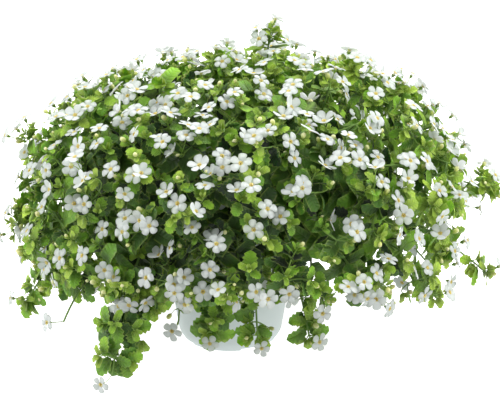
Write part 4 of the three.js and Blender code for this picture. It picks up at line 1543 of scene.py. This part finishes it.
# The paler rim is partly the leaf's own margin and partly a painted highlight.
colour = mixed(tree, sum_up(tree, "MULTIPLY", rim, RIM_SHARE), colour, LEAF_RIM_AND_HIGHLIGHT)
# The paler underside is the leaf's own colour, and is also painted brighter for light shining
# through it.
under = sum_up(tree, "MULTIPLY", named_value(tree, "under"), UNDER_SHARE)
colour = mixed(tree, under, colour, LEAF_UNDERSIDE_AND_THROUGH_LIGHT)
tree.links.new(colour, shader.inputs["Base Color"])
tree.links.new(scaled(tree, mottle, 0, 1, 0.42, 0.6), shader.inputs["Roughness"])
relief = sum_up(tree, "SUBTRACT", quilt, sum_up(tree, "MULTIPLY", line, 0.5))
bumped(tree, shader, relief, 0.7, 0.45 * MM)
print(leaf_finish.name)

# %% [markdown]
# A petal is a cool white, a little darker along its faint veins. The throat's stain is an attribute
# of the flower: white petal at 0, cream and yellow-green in buds and tubes, gold round the throat
# and brown in its depth.

# %% Petal
STAIN_STOPS = [
    (0.0, (0.68, 0.74, 0.73)),
    (0.16, (0.68, 0.74, 0.72)),
    (0.32, (0.78, 0.74, 0.38)),
    (0.46, (0.58, 0.64, 0.10)),
    (0.62, (0.84, 0.66, 0.08)),
    (0.84, (0.78, 0.54, 0.04)),
    (1.0, (0.36, 0.20, 0.02)),
]
PETAL_VEIN = (0.44, 0.53, 0.49, 1)
PETAL_TINT = (0.50, 0.60, 0.56, 1)
VEIN_SHARE = 0.10
TINT_SHARE = 0.16

petal_finish, tree, shader = finish(
    "bacopa_petal", Specular_IOR_Level=0.25, Sheen_Weight=0.05,
    Subsurface_Weight=0.8, Subsurface_Radius=(1.0, 1.0, 1.0), Subsurface_Scale=5 * MM,
)
line, quilt = veins_at(tree, 3.0, 2.2)[:2]
mottle = patches_at(tree, 260, 1.2)
colour = ramp(tree, named_value(tree, "stain"), STAIN_STOPS)
colour = mixed(tree, sum_up(tree, "MULTIPLY", line, VEIN_SHARE), colour, PETAL_VEIN)
tinted = scaled(tree, named_value(tree, "tint"), 0, 1, 0.0, TINT_SHARE)
colour = mixed(tree, tinted, colour, PETAL_TINT)
tree.links.new(colour, shader.inputs["Base Color"])
tree.links.new(scaled(tree, mottle, 0, 1, 0.45, 0.62), shader.inputs["Roughness"])
bumped(tree, shader, sum_up(tree, "ADD", quilt, mottle), 0.25, 0.2 * MM)
print(petal_finish.name)

# %% [markdown]
# A stem is green where it is young, and turns brown and woody with age.

# %% Stem
STEM_STOPS = [
    (0.0, (0.26, 0.42, 0.07)),
    (0.4, (0.14, 0.26, 0.045)),
    (0.75, (0.12, 0.12, 0.04)),
    (1.0, (0.13, 0.075, 0.04)),
]

stem_finish, tree, shader = finish("bacopa_stem", Specular_IOR_Level=0.3, Sheen_Weight=0.1)
mottle = patches_at(tree, 240, 1.6)
age = sum_up(tree, "ADD", named_value(tree, "age"), scaled(tree, mottle, 0, 1, -0.12, 0.12))
tree.links.new(ramp(tree, age, STEM_STOPS), shader.inputs["Base Color"])
tree.links.new(scaled(tree, mottle, 0, 1, 0.45, 0.7), shader.inputs["Roughness"])
bumped(tree, shader, mottle, 0.4, 0.25 * MM)
print(stem_finish.name)

# %% [markdown]
# ## Stems, leaves and flowers of each node
#
# The skins hold the whole plant. Each stem and runner of the model is now replaced with three
# pieces of its own, picked from the skins by the node that each organ belongs to.

# %% Pieces of the plant
def of_node(part, owners, node):
    """The organs of a skin that belong to one node."""
    own = owners == node
    return {
        "points": part["points"][own],
        "faces": part["faces"],
        "values": {name: value[own] for name, value in part["values"].items()},
    }


flower_nodes = flowers["node"]
bud_nodes = shoots["node"][budding]
PARTS = {
    "shoots": (stem_finish, "foliage", [
        (tube_skins["stems"], np.arange(STEMS)), (tube_skins["runners"], runner_nodes),
        (tube_skins["twigs"], twig_nodes), (tube_skins["shoots"], shoots["node"]),
        (cups, flower_nodes), (stalks, flower_nodes), (bud_stalks, bud_nodes),
    ]),
    "leaves": (leaf_finish, "foliage", [
        (leaf_skins[kind], leaves[kind]["node"]) for kind in leaves
    ]),
    "flowers": (petal_finish, "petal", [
        (lobes, np.repeat(flower_nodes, LOBES)), (throats, flower_nodes),
        (anthers, np.repeat(flower_nodes, ANTHERS)), (buds, bud_nodes),
    ]),
}
triangles = 0
for node, node_name in enumerate(node_names):
    for label, (material, slot, parts) in PARTS.items():
        own = [of_node(part, owners, node) for part, owners in parts]
        own = [part for part in own if len(part["points"])]
        if own:
            made = piece(f"{node_name}_{label}", own, material, replaces=[node_name])
            triangles += sum(len(p.vertices) - 2 for p in made.data.polygons)
print("the plant has", triangles, "triangles")

# %% [markdown]
# ## The pot
#
# The pot is one thin wall of white plastic: a straight taper with a rounded heel, a rolled rim and
# a base that stands on four feet, with channels between them for the water. Its profile is
# turned about the axis, with each corner rounded by a short curve, and the channels and drain
# holes are cut out of it.

# %% Rounded profile
POT_COLUMNS = 144
CHANNELS = 4
CHANNEL_WIDTH = 20
CHANNEL_HEIGHT = 2.8
CHANNEL_FROM = 24
CHANNEL_ANGLE = np.radians(-64)
DRAIN_RADIUS = 4.5
DRAIN_AT = 34
CORNER_POINTS = 5


def rounded_profile(corners):
    """A profile of (radius, height, rounding) corners, each replaced with a Bezier curve that
    starts and ends the rounding's length away from it."""
    places = np.array([corner[:2] for corner in corners], float)
    profile = [places[0]]
    for before, here, after, corner in zip(places, places[1:], places[2:], corners[1:]):
        reach = corner[2]
        ends = here + reach * unit(before - here), here + reach * unit(after - here)
        profile.extend(bezier([ends[0], here, ends[1]], CORNER_POINTS))
    profile.append(places[-1])
    return np.array(profile)


under_rim = POT_HEIGHT - RIM_HEIGHT
pot_profile = rounded_profile([
    (0, 0, 0),
    (FOOT_RADIUS, 0, 1.2),
    (HEEL_RADIUS, HEEL_HEIGHT, 4.5),
    (wall_radius(under_rim), under_rim, 0.8),
    (RIM_RADIUS, under_rim, 0.5),
    (RIM_RADIUS, POT_HEIGHT, 1.4),
    (wall_radius(POT_HEIGHT) - WALL, POT_HEIGHT, 0.8),
    (HEEL_RADIUS - WALL, HEEL_HEIGHT, 2.5),
    (FOOT_RADIUS, BASE_THICKNESS, 1.0),
    (0, BASE_THICKNESS, 0),
])
pot_axis = UP[None]
pot_skin = turned_shapes(np.zeros((1, 3)), pot_axis, pot_profile, POT_COLUMNS)
print("the pot's profile has", len(pot_profile), "points")

# %% [markdown]
# The plastic is a cool white with soft clouds in it and a fine grain.

# %% Pot finish
POT_DARKER = (0.63, 0.715, 0.70, 1)
POT_PALER = (0.68, 0.765, 0.75, 1)

pot_finish, tree, shader = finish("grower_pot_plastic", Specular_IOR_Level=0.4, Coat_Roughness=0.3)
cloud = patches_at(tree, 14, 1.2)
grain = patches_at(tree, 1400, 1.6)
tree.links.new(mixed(tree, cloud, POT_DARKER, POT_PALER), shader.inputs["Base Color"])
tree.links.new(scaled(tree, cloud, 0, 1, 0.36, 0.52), shader.inputs["Roughness"])
bumped(tree, shader, grain, 0.12, 0.08 * MM)
print(pot_finish.name)

# %% [markdown]
# The channels and the drain holes are cut with upright prisms that start a little below the feet.

# %% Pot with its channels and drains
POT_SHARP_ANGLE = np.radians(32)
DRAIN_POINTS = 32
CUT_PAST = 1


def cut(target, points, faces):
    """Cuts a closed shape out of a piece, and keeps the result as the piece's mesh."""
    mesh = bpy.data.meshes.new("cutter")
    mesh.from_pydata(points * MM, [], faces)
    cutter = bpy.data.objects.new("cutter", mesh)
    bpy.context.scene.collection.objects.link(cutter)
    modifier = target.modifiers.new("cut", "BOOLEAN")
    modifier.operation = "DIFFERENCE"
    modifier.solver = "EXACT"
    modifier.object = cutter
    evaluated = target.evaluated_get(bpy.context.evaluated_depsgraph_get())
    target.data = bpy.data.meshes.new_from_object(evaluated)
    target.modifiers.clear()
    bpy.data.objects.remove(cutter)


def prism(outline, low, high):
    """An upright prism: its corner points and its faces, which look outwards."""
    count = len(outline)
    flat = np.concatenate([outline, outline], axis=0)
    height = np.repeat([low, high], count)[:, None]
    following = (np.arange(count) + 1) % count
    walls = [(k, n, n + count, k + count) for k, n in enumerate(following.tolist())]
    lids = [tuple(range(count - 1, -1, -1)), tuple(range(count, 2 * count))]
    return np.concatenate([flat, height], axis=1), walls + lids


pot = piece("grower_pot", [pot_skin], pot_finish, replaces=["pot"])
half = CHANNEL_WIDTH / 2
channel_outline = np.array([
    [CHANNEL_FROM, -half], [RIM_RADIUS, -half], [RIM_RADIUS, half], [CHANNEL_FROM, half],
])
circle = TURN * np.arange(DRAIN_POINTS) / DRAIN_POINTS
drain_outline = DRAIN_RADIUS * np.stack([np.cos(circle), np.sin(circle)], axis=-1) + [DRAIN_AT, 0]
for k in range(CHANNELS):
    angle = CHANNEL_ANGLE + TURN * k / CHANNELS
    spin = np.array([[np.cos(angle), np.sin(angle)], [-np.sin(angle), np.cos(angle)]])
    cut(pot, *prism(channel_outline @ spin, -CUT_PAST, CHANNEL_HEIGHT))
    cut(pot, *prism(drain_outline @ spin, -2 * CUT_PAST, 2 * BASE_THICKNESS))
pot.data.shade_smooth()
pot.data.set_sharp_from_angle(angle=POT_SHARP_ANGLE)
print("the pot has", len(pot.data.polygons), "faces")

# %% [markdown]
# ## The soil
#
# Potting soil is peat with bits of bark and white perlite. The soil of the model is replaced with
# a finer one of the same size, whose top is uneven, and crumbs and perlite lie half sunk in it.

# %% Soil
FIT_GAP = 0.35
SOIL_CROWN = 4
SOIL_COLUMNS = 96
SOIL_RINGS = 26


def soil_height(radius, angle):
    """The soil's top: a low dome, with ripples from a few sines of the place."""
    x, y = radius * np.cos(angle), radius * np.sin(angle)
    ripple = np.sin(0.31 * x + 1) * np.cos(0.27 * y) + 0.6 * np.sin(0.62 * y - 0.4 * x)
    fade = 1 - (radius / RIM_RADIUS) ** 6
    return SOIL_TOP + SOIL_CROWN * (1 - radius / RIM_RADIUS) + (0.9 * ripple - 0.6) * fade


inner_heel = HEEL_RADIUS - WALL - FIT_GAP
inner_top = wall_radius(SOIL_TOP) - WALL - FIT_GAP - 0.4
soil_angle = TURN * np.arange(SOIL_COLUMNS) / SOIL_COLUMNS
top_radii = np.linspace(inner_top, 2, SOIL_RINGS)
walls = [(FOOT_RADIUS - 1, BASE_THICKNESS + FIT_GAP), (inner_heel - 0.3, HEEL_HEIGHT + FIT_GAP)]
soil_profile = walls + [(radius, 0) for radius in top_radii]
tops = soil_height(top_radii[:, None], soil_angle)
soil_wave = np.concatenate([np.zeros((2, SOIL_COLUMNS)), tops])
centre_top = soil_height(np.zeros(1), np.zeros(1))[0]
soil_skin = turned_shapes(
    np.zeros((1, 3)), pot_axis, [(0, BASE_THICKNESS + FIT_GAP), *soil_profile, (0, centre_top)],
    SOIL_COLUMNS, wave=soil_wave, pale=np.zeros((1, 1)),
)
print("the soil's top is at", tops.min().round(1), "to", tops.max().round(1), "mm")

# %% [markdown]
# A crumb is a small turned lump whose points are dented at random.

# %% Crumbs and perlite
CRUMBS = 320
PERLITE_SHARE = 0.09
CRUMB = [(0, -1), (0.8, -0.55), (1, 0.1), (0.7, 0.7), (0, 1)]
CRUMB_SIZES = 0.7, 2.3
DENTS = 0.75, 1.15
FROM_WALL = 4

crumb_radius = (inner_top - FROM_WALL) * np.sqrt(rng.uniform(size=CRUMBS))
crumb_angle = rng.uniform(0, TURN, CRUMBS)
crumb_places = np.stack([
    crumb_radius * np.cos(crumb_angle), crumb_radius * np.sin(crumb_angle),
    soil_height(crumb_radius, crumb_angle),
], axis=-1)
crumb_axes = unit(rng.normal(size=(CRUMBS, 3)))
crumbs = turned_shapes(
    crumb_places, crumb_axes, CRUMB, 7, sizes=rng.uniform(*CRUMB_SIZES, CRUMBS),
    pale=(rng.uniform(size=(CRUMBS, 1)) < PERLITE_SHARE).astype(float),
)
dents = rng.uniform(*DENTS, crumbs["points"].shape[:2])[..., None]
crumbs["points"] = crumb_places[:, None] + (crumbs["points"] - crumb_places[:, None]) * dents
print(CRUMBS, "crumbs")

# %% [markdown]
# Peat is nearly black in its dips and brown on its clods. Perlite is pale.

# %% Soil finish and pieces
SOIL_STOPS = [
    (0.1, (0.012, 0.008, 0.005)),
    (0.6, (0.045, 0.028, 0.018)),
    (0.95, (0.10, 0.065, 0.04)),
]
PERLITE_COLOUR = (0.72, 0.71, 0.67, 1)

soil_finish, tree, shader = finish("potting_soil", Specular_IOR_Level=0.2, Roughness=0.95)
clod = patches_at(tree, 420, 2.0)
fibre = patches_at(tree, 1500, 2.0)
colour = mixed(tree, named_value(tree, "pale"), ramp(tree, clod, SOIL_STOPS), PERLITE_COLOUR)
tree.links.new(colour, shader.inputs["Base Color"])
bumped(tree, shader, sum_up(tree, "ADD", clod, fibre), 0.8, 0.6 * MM)
piece("potting_soil", [soil_skin], soil_finish, replaces=["soil"])
piece("soil_crumbs", [crumbs], soil_finish, replaces=["soil"])
print(soil_finish.name)

# %% [markdown]
# ## The floor
#
# The floor is one large square. It belongs to the studio and not to the plant. It glows, as a lit
# sweep does, so it meets the white round it without a line and keeps only a faint shadow, and
# its light is kept off the plant.

# %% Floor
FLOOR_HALF = 6.0

floor_mesh = bpy.data.meshes.new("floor")
corners = [(-1, -1), (1, -1), (1, 1), (-1, 1)]
points = [(FLOOR_HALF * x, FLOOR_HALF * y, 0) for x, y in corners]
floor_mesh.from_pydata(points, [], [(0, 1, 2, 3)])
floor = bpy.data.objects.new("floor", floor_mesh)
bpy.context.scene.collection.objects.link(floor)
floor_finish, tree, shader = finish(
    "studio_floor", Base_Color=(0.8, 0.8, 0.8, 1), Roughness=0.9,
    Emission_Color=(1, 1, 1, 1), Emission_Strength=0.95,
)
floor.visible_diffuse = False
floor_mesh.materials.append(floor_finish)
print("floor laid")
